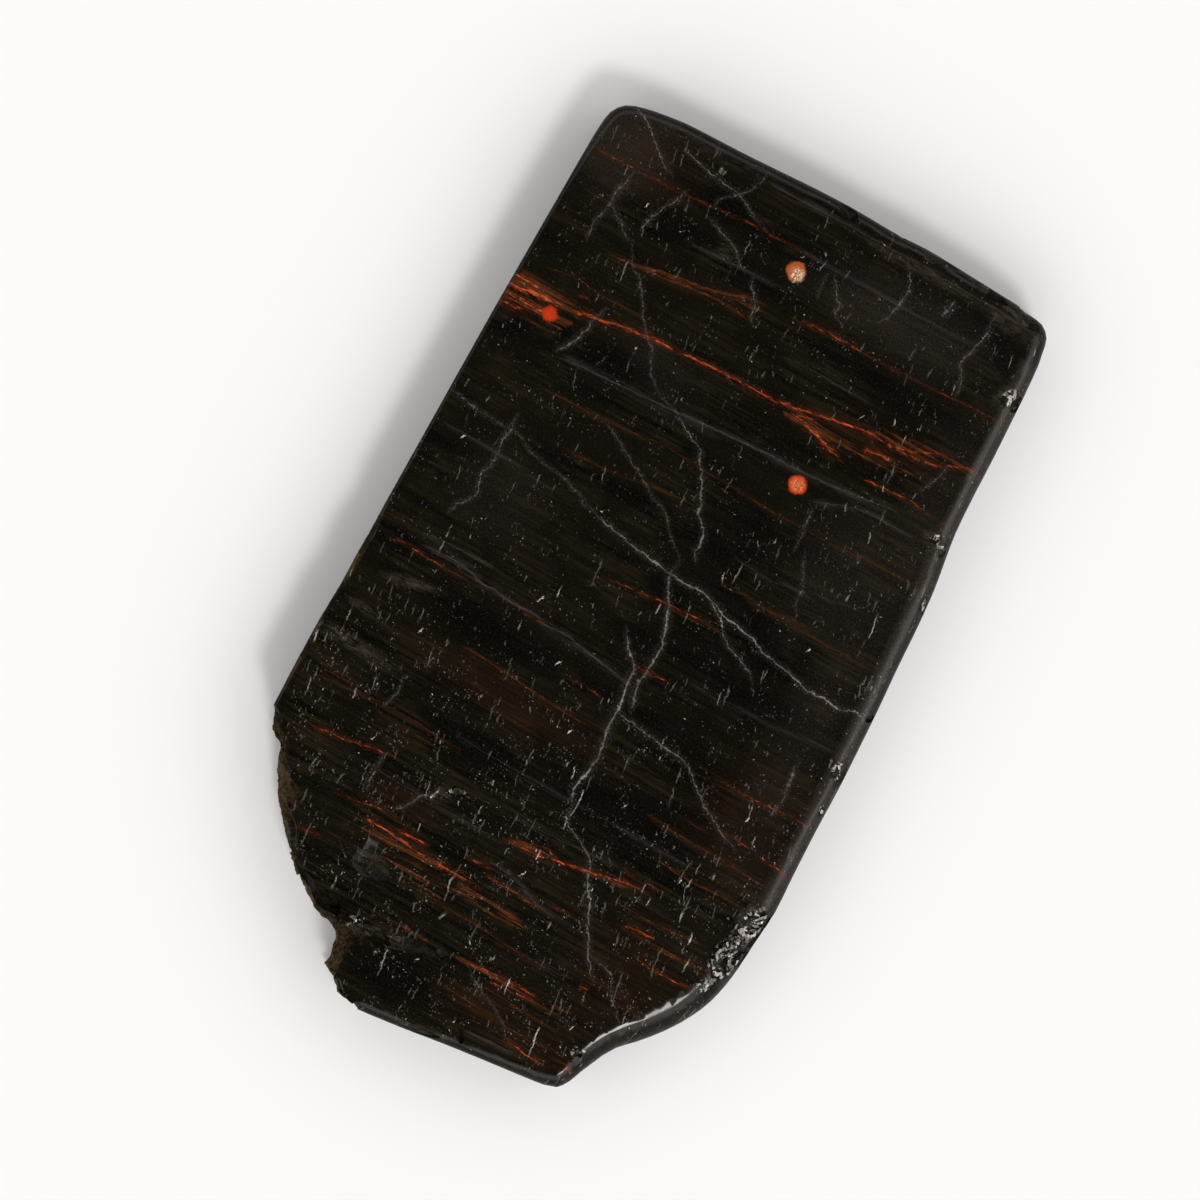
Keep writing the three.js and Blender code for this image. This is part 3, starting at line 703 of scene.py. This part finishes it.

# Flakes that stand across the grain, drawn only as painted glints, as lines from the broken end up.
FLAKE_GLINTS = [
    (0.19, 1.3, [(-14.1, 0.2), (-13.2, 0.6)]),
    (0.16, 1.2, [(-13.2, 21.8), (-12.1, 22.3)]),
    (0.17, 1.3, [(8.8, -8.5), (9.6, -7.9)]),
    (0.12, 1.1, [(-12.5, -19.3), (-11.2, -19.1)]),
    (0.13, 1.2, [(-8.3, -4.6), (-7.1, -4.1)]),
    (0.13, 1.1, [(8.5, -25.6), (9.5, -25.1)]),
    (0.11, 1.0, [(-3, -9.7), (-1.9, -9.3)]),
    (0.15, 1.2, [(-25.2, -18.4), (-24.3, -17.9)]),
    (0.13, 1.0, [(6.3, 18.7), (7.4, 19.2)]),
    (0.11, 1.0, [(31.4, 11.3), (32.6, 12)]),
    (0.13, 1.0, [(39.8, -15.9), (40.6, -15)]),
    (0.14, 1.2, [(43.9, -2.6), (44.5, -2.4)]),
    (0.12, 1.1, [(40.5, -20.3), (41.4, -20.1)]),
    (0.13, 1.1, [(26.2, -13.8), (27, -13.5)]),
    (0.14, 1.2, [(-27.6, -9.5), (-26.4, -8.8)]),
    (0.16, 1.2, [(-43.9, -2.4), (-43.3, -2)]),
    (0.13, 1.1, [(-38.6, -2.2), (-37.3, -1.6)]),
    (0.15, 1.2, [(-42.5, 16), (-41.4, 16.6)]),
    (0.12, 1.1, [(-47.9, 4.6), (-46.8, 5)]),
    (0.12, 1.0, [(-18.3, 9.4), (-17.2, 9.9)]),
    (0.11, 1.0, [(-22.8, 18.6), (-21.6, 19)]),
    (0.12, 1.0, [(-30.3, 3.2), (-29.1, 3.6)]),
]

# Soft grey veils under the polish, and painted sheen where the top and bottom edges, the
# chips of the right edge and the slope down to the notch catch the light: middle, half length,
# half width, turn in degrees and strength.
VEILS_AND_SHEEN = [
    ((-22.7, -7.8), 3.6, 0.7, 12, 0.8),
    ((-26, -12.7), 2.4, 0.6, -6, 0.75),
    ((-24.5, -16.8), 5.2, 1.0, -3, 0.7),
    ((-8.8, -44), 3.6, 1.3, 18, 0.5),
    ((3, -50), 2.6, 0.7, 8, 0.6),
    ((-23.7, 40.8), 0.9, 1.3, 0, 0.4),
    ((-10, 40.5), 1.7, 1.0, 30, 0.35),
    ((-8, -26), 1.6, 1.0, 35, 0.7),
    ((24.3, 41.6), 1.8, 1.1, 60, 0.8),
    ((24.6, 24.2), 1.2, 0.9, 30, 0.7),
    ((28.6, -28.6), 0.9, 1.1, 0, 0.7),
    ((10, 49.2), 8.5, 0.8, -1, 0.5),
    ((20.5, 48.8), 3.8, 1.2, -6, 0.5),
    ((-16, 49.6), 9, 1.0, 2, 0.3),
    ((-26.5, -31), 1.1, 2.6, 25, 0.6),
    ((-20, -39.2), 2.8, 0.8, -42, 0.6),
    ((-13.3, -44.2), 1.9, 0.8, -15, 0.7),
]

# Small bruises where the stone crumbled, and one bright spot on the rounded lower corner, all
# darkened and given painted glints: middle, half length, half width, turn and strength.
BRUISES_AND_SPARKLES = [
    ((18.2, -43.9), 1.0, 0.7, 30, 1.0),
    ((24.9, 41.8), 1.5, 0.9, 60, 0.9),
    ((25.7, 24.3), 1.3, 0.7, 20, 1.0),
    ((27.6, 17.6), 0.6, 1.0, 0, 0.9),
    ((28.3, -3.2), 0.9, 1.2, 0, 1.0),
    ((28.9, -7.6), 0.5, 0.8, 0, 0.8),
    ((-7.2, -25.6), 1.3, 0.8, 25, 0.9),
    ((-9.6, -42.9), 1.6, 0.5, 8, 0.8),
    ((27, -30.6), 1.4, 0.8, 40, 0.8),
    ((28.2, -22.4), 2.6, 1.5, 80, 1.0),
    ((27.6, -26.8), 3.2, 1.9, 78, 1.0),
]

# Round grains of other minerals in the stone: middle, radius, how far the rim lies off to
# the upper left, and the colours of the grain and of its rim.
INCLUSIONS = [
    ((-2.1, 42.2), 1.1, 0.3, colour(228, 214, 186), colour(166, 84, 42)),
    ((9.1, 22.1), 1.1, 0.0, colour(218, 138, 94), colour(182, 62, 28)),
    ((-23.7, 25.3), 0.9, 0.0, colour(204, 66, 26), colour(168, 46, 20)),
    ((-14.7, 48.2), 0.42, 0.0, colour(196, 190, 180), colour(70, 64, 58)),
]

# Where the polish stops short of the left edge and leaves a raw tan rim.
RAW_RIMS = [
    ((-30.2, -7.5), 1.3, 8, 0, 0.9),
    ((-30.1, -20), 1.0, 7, 0, 0.6),
]

RIM_TAN = colour(104, 76, 44)
HEMATITE_BRIGHT = colour(232, 126, 80)
HEMATITE_RED = colour(180, 71, 34)
HEMATITE_ORANGE = colour(124, 60, 28)
HEMATITE_DULL = colour(98, 42, 22)
RUST_BROWN = colour(66, 40, 22)
THREAD_BROWN = colour(96, 50, 26)
SEAM_GREY = colour(70, 64, 64)
CRACK_GREY = colour(134, 127, 117)
VEIL_AND_SHEEN_GREY = colour(76, 68, 56)
STONE_BLACK = colour(7, 7, 5)
STONE_OLIVE = colour(16, 14, 8)
STONE_UMBER = colour(31, 26, 16)
STONE_BROWN = colour(56, 43, 29)
STONE_GREY = colour(46, 43, 38)
ZONE_RED = colour(50, 26, 15)
ZONE_AND_SHEEN_GREY = colour(58, 52, 47)
DASH_AND_GLINT_GREY = colour(170, 165, 156)
GLINT = colour(214, 208, 200)

# The stone as it grew. The points above are measured from a middle that lies 0.09 mm left of
# the slab's own. Below the face the layers lean across and along the slab, unevenly. Cover
# and halo say how far each marking hides the stone under it and beside it.
MIDDLE_SHIFT = 0.09
HALF_WIDTH = 31
HALF_LENGTH = 53
LAYERS_LEAN = {"X": 0.3, "Y": 0.55}
LAYERS_WANDER = {"X": 0.7, "Y": 0.5}
COVER = {
    "smear": 0.85, "red": 0.92, "seam": 0.7, "veil_and_sheen": 0.7, "dashes_and_glints": 0.8, "crack": 0.8,
    "brown stone": 0.32, "grey specks": 0.34,
}
HALO = {"brown": 0.3, "seam": 0.28, "red": 0.4, "crack": 0.45}
BRUISES_AND_SPARKLES_END = (5.0, 3.0)
RIMS_END = (3.2, 1.2)

grown, given, made = new_group(
    "grown_stone",
    [("Place", "Vector")],
    [("Colour", "Color"), ("Hematite", "Float"), ("Crack", "Float"), ("Veil_and_sheen", "Float")],
)
placed = lay(grown, "ShaderNodeVectorMath", {
    0: given["Place"], 1: (1 / MM,) * 3, 2: (MIDDLE_SHIFT, 0, 0),
}, operation="MULTIPLY_ADD").outputs[0]
raw = lay(grown, "ShaderNodeSeparateXYZ", {0: placed}).outputs
depth = maths(grown, "SUBTRACT", FACE_HEIGHT / MM, raw["Z"])
bend = lay(grown, "ShaderNodeTexNoise", {"Vector": placed, "Scale": 0.09, "Detail": 2.0})
bend_by = lay(grown, "ShaderNodeVectorMath", {
    0: bend.outputs["Color"], 1: (0.5,) * 3,
}, operation="SUBTRACT")
drift = lay(grown, "ShaderNodeSeparateXYZ", {0: bend_by.outputs[0]}).outputs


def followed_up(axis):
    slope = maths(grown, "MULTIPLY_ADD", drift[axis], LAYERS_WANDER[axis], LAYERS_LEAN[axis])
    return maths(grown, "MULTIPLY_ADD", depth, slope, raw[axis])


x, y = followed_up("X"), followed_up("Y")
point = lay(grown, "ShaderNodeCombineXYZ", {0: x, 1: y, 2: 1.0}).outputs[0]


def ruffle(scale, stretch, detail=3.0, roughness=0.6):
    stretched = lay(grown, "ShaderNodeVectorMath", {0: point, 1: stretch}, operation="MULTIPLY")
    values = {"Vector": stretched.outputs[0], "Scale": scale, "Detail": detail, "Roughness": roughness}
    return lay(grown, "ShaderNodeTexNoise", values, noise_dimensions="2D").outputs[0]


wander = ruffle(0.8, (1, 1, 1), 5.0, 0.72)
kink = ruffle(0.9, (1.2, 0.8, 1), 5.0, 0.72)


def times(first, second):
    return maths(grown, "MULTIPLY", first, second)


def ramp(value, low, high, to_low=0.0, to_high=1.0):
    return between(grown, value, low, high, to_low, to_high)


# Noise is added to a marking's strength and the sum cut lower, so that it breaks up.
def stirred(value, less, noise_value, amount):
    return maths(grown, "MULTIPLY_ADD", noise_value, amount, maths(grown, "SUBTRACT", value, less))


def shaken(value, noise_value, amount):
    return stirred(value, amount / 2, noise_value, amount)


thread_x, thread_y = shaken(x, kink, 0.8), shaken(y, wander, 0.42)
crack_x, crack_y = shaken(x, kink, 0.95), shaken(y, wander, 0.95)
jagged = lay(grown, "ShaderNodeCombineXYZ", {
    0: shaken(x, kink, 0.75), 1: shaken(y, wander, 0.35), 2: 1.0,
}).outputs[0]

fine_streaks = ruffle(1.0, (0.1, 2.0, 1), 6.0, 0.66)
hair_streaks = ruffle(1.0, (0.7, 8.0, 1), 4.0, 0.72)
bands = ruffle(1.0, (0.022, 0.3, 1), 3.0, 0.55)
clouds = ruffle(0.11, (1, 1.6, 1), 3.0, 0.6)
breaks = ruffle(1.0, (0.9, 2.8, 1), 5.0, 0.78)
grit = ruffle(1.0, (4.2, 4.2, 1), 3.0, 0.75)


def soft_oval(middle, half_length, half_width, turn, strength):
    sides = []
    for angle, half in ((math.radians(turn), half_length), (math.radians(turn + 90), half_width)):
        axis = Vector((math.cos(angle), math.sin(angle))) / half
        weights = (axis.x, axis.y, -axis.dot(Vector(middle)))
        side = lay(grown, "ShaderNodeVectorMath", {0: point, 1: weights}, operation="DOT_PRODUCT")
        sides.append(side.outputs["Value"])
    both = lay(grown, "ShaderNodeCombineXYZ", {0: sides[0], 1: sides[1]}).outputs[0]
    far = lay(grown, "ShaderNodeVectorMath", {0: both}, operation="LENGTH").outputs["Value"]
    return ramp(far, 1.25, 0.2, 0.0, strength)


streaked = ramp(fine_streaks, 0.38, 0.7)
hairs = ramp(hair_streaks, 0.42, 0.66)
speckled = ramp(grit, 0.5, 0.74)
lower_part = ramp(y, 2.0, -22.0)

blacker = strongest(grown, (soft_oval(*zone) for zone in BLACK_ZONES))
clear = maths(grown, "SUBTRACT", 1.0, blacker)
olive = times(ramp(bands, 0.38, 0.6), clear)
body = tint(grown, olive, STONE_BLACK, STONE_OLIVE)
warm = times(streaked, ramp(clouds, 0.42, 0.62, 0.1, 1.0))
warm = times(warm, maths(grown, "MULTIPLY_ADD", clear, 0.85, 0.15))
body = tint(grown, warm, body, STONE_UMBER)
# The painted edge sheen, along the right edge.
sheen = ramp(draw_lines(grown, y, x, HALF_LENGTH, EDGE_SHEEN), -0.4, 0.8)
redder = strongest(grown, (soft_oval(*zone) for zone in RED_ZONES))
reddened = times(redder, maths(grown, "MULTIPLY_ADD", warm, 0.5, 0.2))
body = tint(grown, reddened, body, ZONE_RED)
greyer = strongest(grown, (soft_oval(*zone) for zone in GREY_AND_SHEEN_ZONES))
# The grey zones and the painted edge sheen are laid on in one grey.
grey_and_sheen = maths(grown, "MAXIMUM", times(greyer, 0.8), sheen)
grey_and_sheen = times(grey_and_sheen, ramp(grit, 0.3, 0.72, 0.35, 1.25))
body = tint(grown, grey_and_sheen, body, ZONE_AND_SHEEN_GREY)
paler = times(hairs, times(lower_part, clear))
body = tint(grown, times(times(paler, COVER["brown stone"]), streaked), body, STONE_BROWN)
body = tint(grown, times(speckled, COVER["grey specks"]), body, STONE_GREY)

broken_up = ramp(breaks, 0.36, 0.62, 0.3, 1.15)
smears = draw_lines(grown, thread_x, thread_y, HALF_WIDTH, RUST_SMEARS)
brushed = ramp(times(ramp(smears, 0.0, 0.7), streaked), 0.05, 0.65)
body = tint(grown, times(brushed, COVER["smear"]), body, RUST_BROWN)
brushed_hair = times(brushed, times(hairs, broken_up))
body = tint(grown, ramp(brushed_hair, 0.0, 1.0, 0.0, 0.8), body, HEMATITE_ORANGE)

brown = draw_lines(grown, thread_x, thread_y, HALF_WIDTH, BROWN_THREADS)
halo = times(ramp(brown, -3.5, 0.4), streaked)
body = tint(grown, times(halo, HALO["brown"]), body, RUST_BROWN)
brown = times(ramp(brown, 0.0, 0.7), broken_up)
body = tint(grown, times(brown, ramp(hairs, 0.0, 0.6, 0.3, 1.0)), body, THREAD_BROWN)

seams = draw_lines(grown, thread_x, thread_y, HALF_WIDTH, GREY_SEAMS)
halo = times(ramp(seams, -5.0, 0.4), streaked)
body = tint(grown, times(halo, HALO["seam"]), body, SEAM_GREY)
seams = times(ramp(seams, -0.2, 0.9), broken_up)
body = tint(grown, times(seams, COVER["seam"]), body, SEAM_GREY)

threads = draw_lines(grown, thread_x, thread_y, HALF_WIDTH, RED_THREADS)
halo = times(ramp(threads, -2.2, 0.5), hairs)
body = tint(grown, times(halo, HALO["red"]), body, HEMATITE_DULL)
fibrous = stirred(threads, 1.7, hair_streaks, 3.0)
fibrous = stirred(fibrous, 1.6, breaks, 2.8)
red = ramp(fibrous, -0.1, 0.9)
red_tone = tint(grown, ramp(fibrous, 0.2, 1.0), HEMATITE_DULL, HEMATITE_RED)
red_tone = tint(grown, ramp(fibrous, 0.85, 1.5), red_tone, HEMATITE_BRIGHT)
body = tint(grown, times(red, COVER["red"]), body, red_tone)


# Short pale dashes stand across the grain, thick towards the broken end, and fine specks lie
# between them: tiny cleavage cracks and pits, with the glint they catch painted into their
# pale grey.
def dashes(cell, half_width, half_length, share, leans):
    scaled = lay(grown, "ShaderNodeVectorMath", {
        0: jagged, 1: (1 / cell[0], 1 / cell[1], 1),
    }, operation="MULTIPLY")
    cells = lay(grown, "ShaderNodeTexVoronoi", {
        "Vector": scaled.outputs[0], "Scale": 1.0,
    }, voronoi_dimensions="2D")
    apart = lay(grown, "ShaderNodeVectorMath", {
        0: scaled.outputs[0], 1: cells.outputs["Position"],
    }, operation="SUBTRACT")
    off = lay(grown, "ShaderNodeSeparateXYZ", {0: apart.outputs[0]}).outputs
    luck = lay(grown, "ShaderNodeSeparateColor", {0: cells.outputs["Color"]}).outputs
    along = times(off["Y"], cell[1])
    lean = maths(grown, "MULTIPLY_ADD", luck[1], leans, -0.35 * leans)
    across = maths(grown, "MULTIPLY_ADD", along, lean, times(off["X"], cell[0]))
    length = maths(grown, "MULTIPLY_ADD", luck[1], half_length * 0.8, half_length * 0.2)
    spent = maths(grown, "DIVIDE", maths(grown, "ABSOLUTE", along), length)
    width = maths(grown, "DIVIDE", maths(grown, "ABSOLUTE", across), half_width)
    inside = maths(grown, "SUBTRACT", 1.0, maths(grown, "MAXIMUM", spent, width))
    luck_needed = maths(grown, "SUBTRACT", luck[0], maths(grown, "SUBTRACT", 1.0, share))
    chosen = ramp(luck_needed, 0.0, 0.2)
    shine = maths(grown, "MULTIPLY_ADD", maths(grown, "POWER", luck[2], 6.0), 0.8, 0.2)
    return times(ramp(inside, 0.0, 0.7), times(chosen, shine))


crowding = ramp(y, 0.0, -28.0, 0.17, 0.29)
patches = ruffle(0.32, (1, 1, 1), 3.0)
patchy = ramp(patches, 0.4, 0.6, 0.15, 1.45)
# Dashes, with their painted glints, crowd more along the painted edge sheen.
crowd = times(maths(grown, "MULTIPLY_ADD", sheen, 0.16, crowding), patchy)
long_dashes = dashes(
    cell=(1.0, 1.9), half_width=0.085, half_length=1.25, share=crowd, leans=0.45,
)
short_dashes = dashes(
    cell=(0.5, 0.85), half_width=0.07, half_length=0.42, share=times(crowd, 0.7), leans=0.9,
)
specks = dashes(
    cell=(0.36, 0.36), half_width=0.09, half_length=0.12, share=crowd, leans=1.0,
)
hair_cracks = dashes(
    cell=(2.7, 4.4), half_width=0.1, half_length=3.0, share=times(crowd, 1.1), leans=0.3,
)
dashes_and_glints = strongest(grown, [long_dashes, short_dashes, specks, hair_cracks])
# The brightest dashes are painted glints.
glint = ramp(times(dashes_and_glints, grit), 0.36, 0.6)

across = draw_lines(grown, crack_x, crack_y, HALF_WIDTH, CRACKS_ACROSS)
along = draw_lines(grown, crack_y, crack_x, HALF_LENGTH, CRACKS_ALONG)
crack = maths(grown, "MAXIMUM", across, along)
crack_halo = times(ramp(crack, -4.5, 0.6), ramp(grit, 0.35, 0.7))
crack = stirred(crack, 1.3, breaks, 2.4)
crack = ramp(crack, -0.1, 1.1)
crack = times(crack, ramp(patches, 0.35, 0.62, 0.6, 1.4))

silk = ruffle(1.0, (0.7, 3.2, 1), 5.0, 0.7)
# Veils in the stone together with painted sheen on the edges, the chips and the notch slope.
veils_and_sheen = strongest(grown, (soft_oval(*veil_and_sheen) for veil_and_sheen in VEILS_AND_SHEEN))
veil_and_sheen = times(veils_and_sheen, ramp(silk, 0.32, 0.66))
body = tint(grown, times(veil_and_sheen, COVER["veil_and_sheen"]), body, VEIL_AND_SHEEN_GREY)
body = tint(grown, times(crack_halo, HALO["crack"]), body, SEAM_GREY)
body = tint(grown, times(dashes_and_glints, COVER["dashes_and_glints"]), body, DASH_AND_GLINT_GREY)
body = tint(grown, times(crack, COVER["crack"]), body, CRACK_GREY)
# The flakes are painted glints only.
flake_glints = draw_lines(grown, y, crack_x, HALF_LENGTH, FLAKE_GLINTS)
flake_glints = stirred(flake_glints, 1.6, breaks, 2.6)
glint = maths(grown, "MAXIMUM", glint, ramp(flake_glints, 0.0, 0.8, 0.0, 0.9))
# Bruises and the sparkle spot are darkened, then given painted glints on small shards.
bruises_and_sparkles = strongest(grown, (soft_oval(*spot) for spot in BRUISES_AND_SPARKLES))
bruises_and_sparkles = times(bruises_and_sparkles, ramp(depth, *BRUISES_AND_SPARKLES_END))
body = tint(grown, ramp(bruises_and_sparkles, 0.0, 0.5, 0.0, 0.7), body, STONE_BLACK)
shards = lay(grown, "ShaderNodeTexVoronoi", {
    "Vector": jagged, "Scale": 2.7,
}, voronoi_dimensions="2D")
shard = lay(grown, "ShaderNodeSeparateColor", {0: shards.outputs["Color"]}).outputs
lit = stirred(shard[0], 1.22, grit, 1.2)
lit = ramp(maths(grown, "ADD", lit, times(bruises_and_sparkles, 0.12)), 0.1, 0.3)
bruise_glints = times(ramp(bruises_and_sparkles, 0.1, 0.5), lit)
glint = maths(grown, "MAXIMUM", glint, times(bruise_glints, ramp(shard[1], 0.0, 1.0, 0.25, 1.0)))
# Painted glints: highlights laid into the colour as near-white grey.
body = tint(grown, glint, body, GLINT)

rims = strongest(grown, (soft_oval(*rim) for rim in RAW_RIMS))
rims = times(rims, ramp(depth, *RIMS_END))
body = tint(grown, times(rims, ramp(breaks, 0.3, 0.6, 0.3, 1.0)), body, RIM_TAN)
for (middle_x, middle_y), radius, rim_shift, grain_colour, rim_colour in INCLUSIONS:
    apart = lay(grown, "ShaderNodeVectorMath", {
        0: point, 1: (middle_x, middle_y, 1),
    }, operation="DISTANCE")
    uneven = shaken(apart.outputs["Value"], wander, 0.7)
    side = lay(grown, "ShaderNodeVectorMath", {
        0: point, 1: (middle_x - rim_shift, middle_y + rim_shift, 1),
    }, operation="DISTANCE")
    rim = shaken(side.outputs["Value"], kink, 0.7)
    body = tint(grown, ramp(rim, radius * 1.1, radius * 0.75), body, rim_colour)
    crumbly = tint(grown, ramp(grit, 0.36, 0.6), grain_colour, rim_colour)
    body = tint(grown, ramp(uneven, radius * 0.95, radius * 0.35), body, crumbly)

for label, value in (("Colour", body), ("Hematite", red), ("Crack", crack), ("Veil_and_sheen", veil_and_sheen)):
    grown.links.new(value, made[label])


# The polish: a hard gloss with faint scratches, a little duller over hematite, over the
# veils and painted sheen, and over healed cracks.
TOURMALINE_IOR = 1.63
POLISHED_SPECULAR = 0.2
RIPPLE_HEIGHT = 0.2 * MM
RIPPLE_STRENGTH = 0.05


def start_finish(name, specular):
    material = bpy.data.materials.new(name)
    material.use_nodes = True
    tree = material.node_tree
    here = lay(tree, "ShaderNodeTexCoord").outputs["Object"]
    pattern = lay(tree, "ShaderNodeGroup", node_tree=grown)
    tree.links.new(here, pattern.inputs["Place"])
    finish = tree.nodes["Principled BSDF"]
    finish.inputs["IOR"].default_value = TOURMALINE_IOR
    finish.inputs["Specular IOR Level"].default_value = specular
    values = {0: here, 1: (1 / MM,) * 3}
    in_mm = lay(tree, "ShaderNodeVectorMath", values, operation="MULTIPLY").outputs[0]
    return material, in_mm, pattern.outputs, finish.inputs


def mottle(tree, in_mm, scale, detail, roughness=0.5):
    values = {"Vector": in_mm, "Scale": scale, "Detail": detail, "Roughness": roughness}
    return lay(tree, "ShaderNodeTexNoise", values).outputs[0]


polished, in_mm, pattern, finish = start_finish("polished_tourmaline", POLISHED_SPECULAR)
tree = polished.node_tree
tree.links.new(pattern["Colour"], finish["Base Color"])
dull = between(tree, mottle(tree, in_mm, 0.35, 4.0), 0.35, 0.7, 0.1, 0.2)
for label, dulling in (("Crack", 0.25), ("Hematite", 0.15), ("Veil_and_sheen", 0.15)):
    dull = maths(tree, "MULTIPLY_ADD", pattern[label], dulling, dull)
tree.links.new(dull, finish["Roughness"])
slow = mottle(tree, in_mm, 0.5, 2.0)
height = maths(tree, "MULTIPLY_ADD", mottle(tree, in_mm, 6.0, 3.0), 0.04, slow)
ripple = lay(tree, "ShaderNodeBump", {
    "Height": height, "Strength": RIPPLE_STRENGTH, "Distance": RIPPLE_HEIGHT,
})
tree.links.new(ripple.outputs[0], finish["Normal"])

# Broken stone: the same growth, with its painted glints, in a dull, glittering break, dusted
# grey. Low on the raw side it is tan, a painted shadow such as the slab casts beside its foot,
# and that tan ends raggedly towards the polished left side.
BROKEN_SPECULAR = 0.08
BREAK_HEIGHT = 0.25 * MM
BREAK_STRENGTH = 0.7
TAN_STARTS = {"height": (7.8, 5.0), "side": (-4.0, -7.0), "end": (-24.4, -27.2)}
HAZE_STARTS = (21.0, 17.0)
HAZE_OLIVE = colour(26, 22, 13)
DUST_GREY = colour(84, 76, 60)
SHADOW_TAN = colour(98, 80, 51)

broken, in_mm, pattern, finish = start_finish("broken_tourmaline", BROKEN_SPECULAR)
tree = broken.node_tree
crumbs = mottle(tree, in_mm, 2.6, 5.0, 0.75)
at = lay(tree, "ShaderNodeSeparateXYZ", {0: in_mm}).outputs
low_down = between(tree, at["Z"], *TAN_STARTS["height"])
left = between(tree, at["X"], *TAN_STARTS["side"])
wall = maths(tree, "MULTIPLY", low_down, left)
ragged_end = maths(tree, "MULTIPLY_ADD", crumbs, 6.0, at["Y"])
wall = maths(tree, "MULTIPLY", wall, between(tree, ragged_end, *TAN_STARTS["end"]))
dusted = maths(tree, "MULTIPLY_ADD", wall, 0.5, 0.14)
dusted = maths(tree, "MULTIPLY", between(tree, crumbs, 0.42, 0.64), dusted)
haze = between(tree, at["X"], *HAZE_STARTS, 0.0, 0.55)
body = tint(tree, haze, pattern["Colour"], HAZE_OLIVE)
body = tint(tree, dusted, body, DUST_GREY)
# The tan low on the raw side is painted shadow.
shadow_tan = maths(tree, "MULTIPLY", wall, between(tree, crumbs, 0.4, 0.6, 0.25, 0.95))
tree.links.new(tint(tree, shadow_tan, body, SHADOW_TAN), finish["Base Color"])
tree.links.new(between(tree, wall, 0.0, 1.0, 0.14, 0.6), finish["Roughness"])
relief = maths(tree, "MULTIPLY_ADD", wall, 0.8, 0.2)
relief = maths(tree, "MULTIPLY", mottle(tree, in_mm, 3.5, 4.0, 0.7), relief)
rough = lay(tree, "ShaderNodeBump", {
    "Height": relief, "Strength": BREAK_STRENGTH, "Distance": BREAK_HEIGHT,
})
tree.links.new(rough.outputs[0], finish["Normal"])

slab_mesh.materials.append(polished)
slab_mesh.materials.append(broken)
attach(slab, "root")
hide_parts("tourmaline_slab")
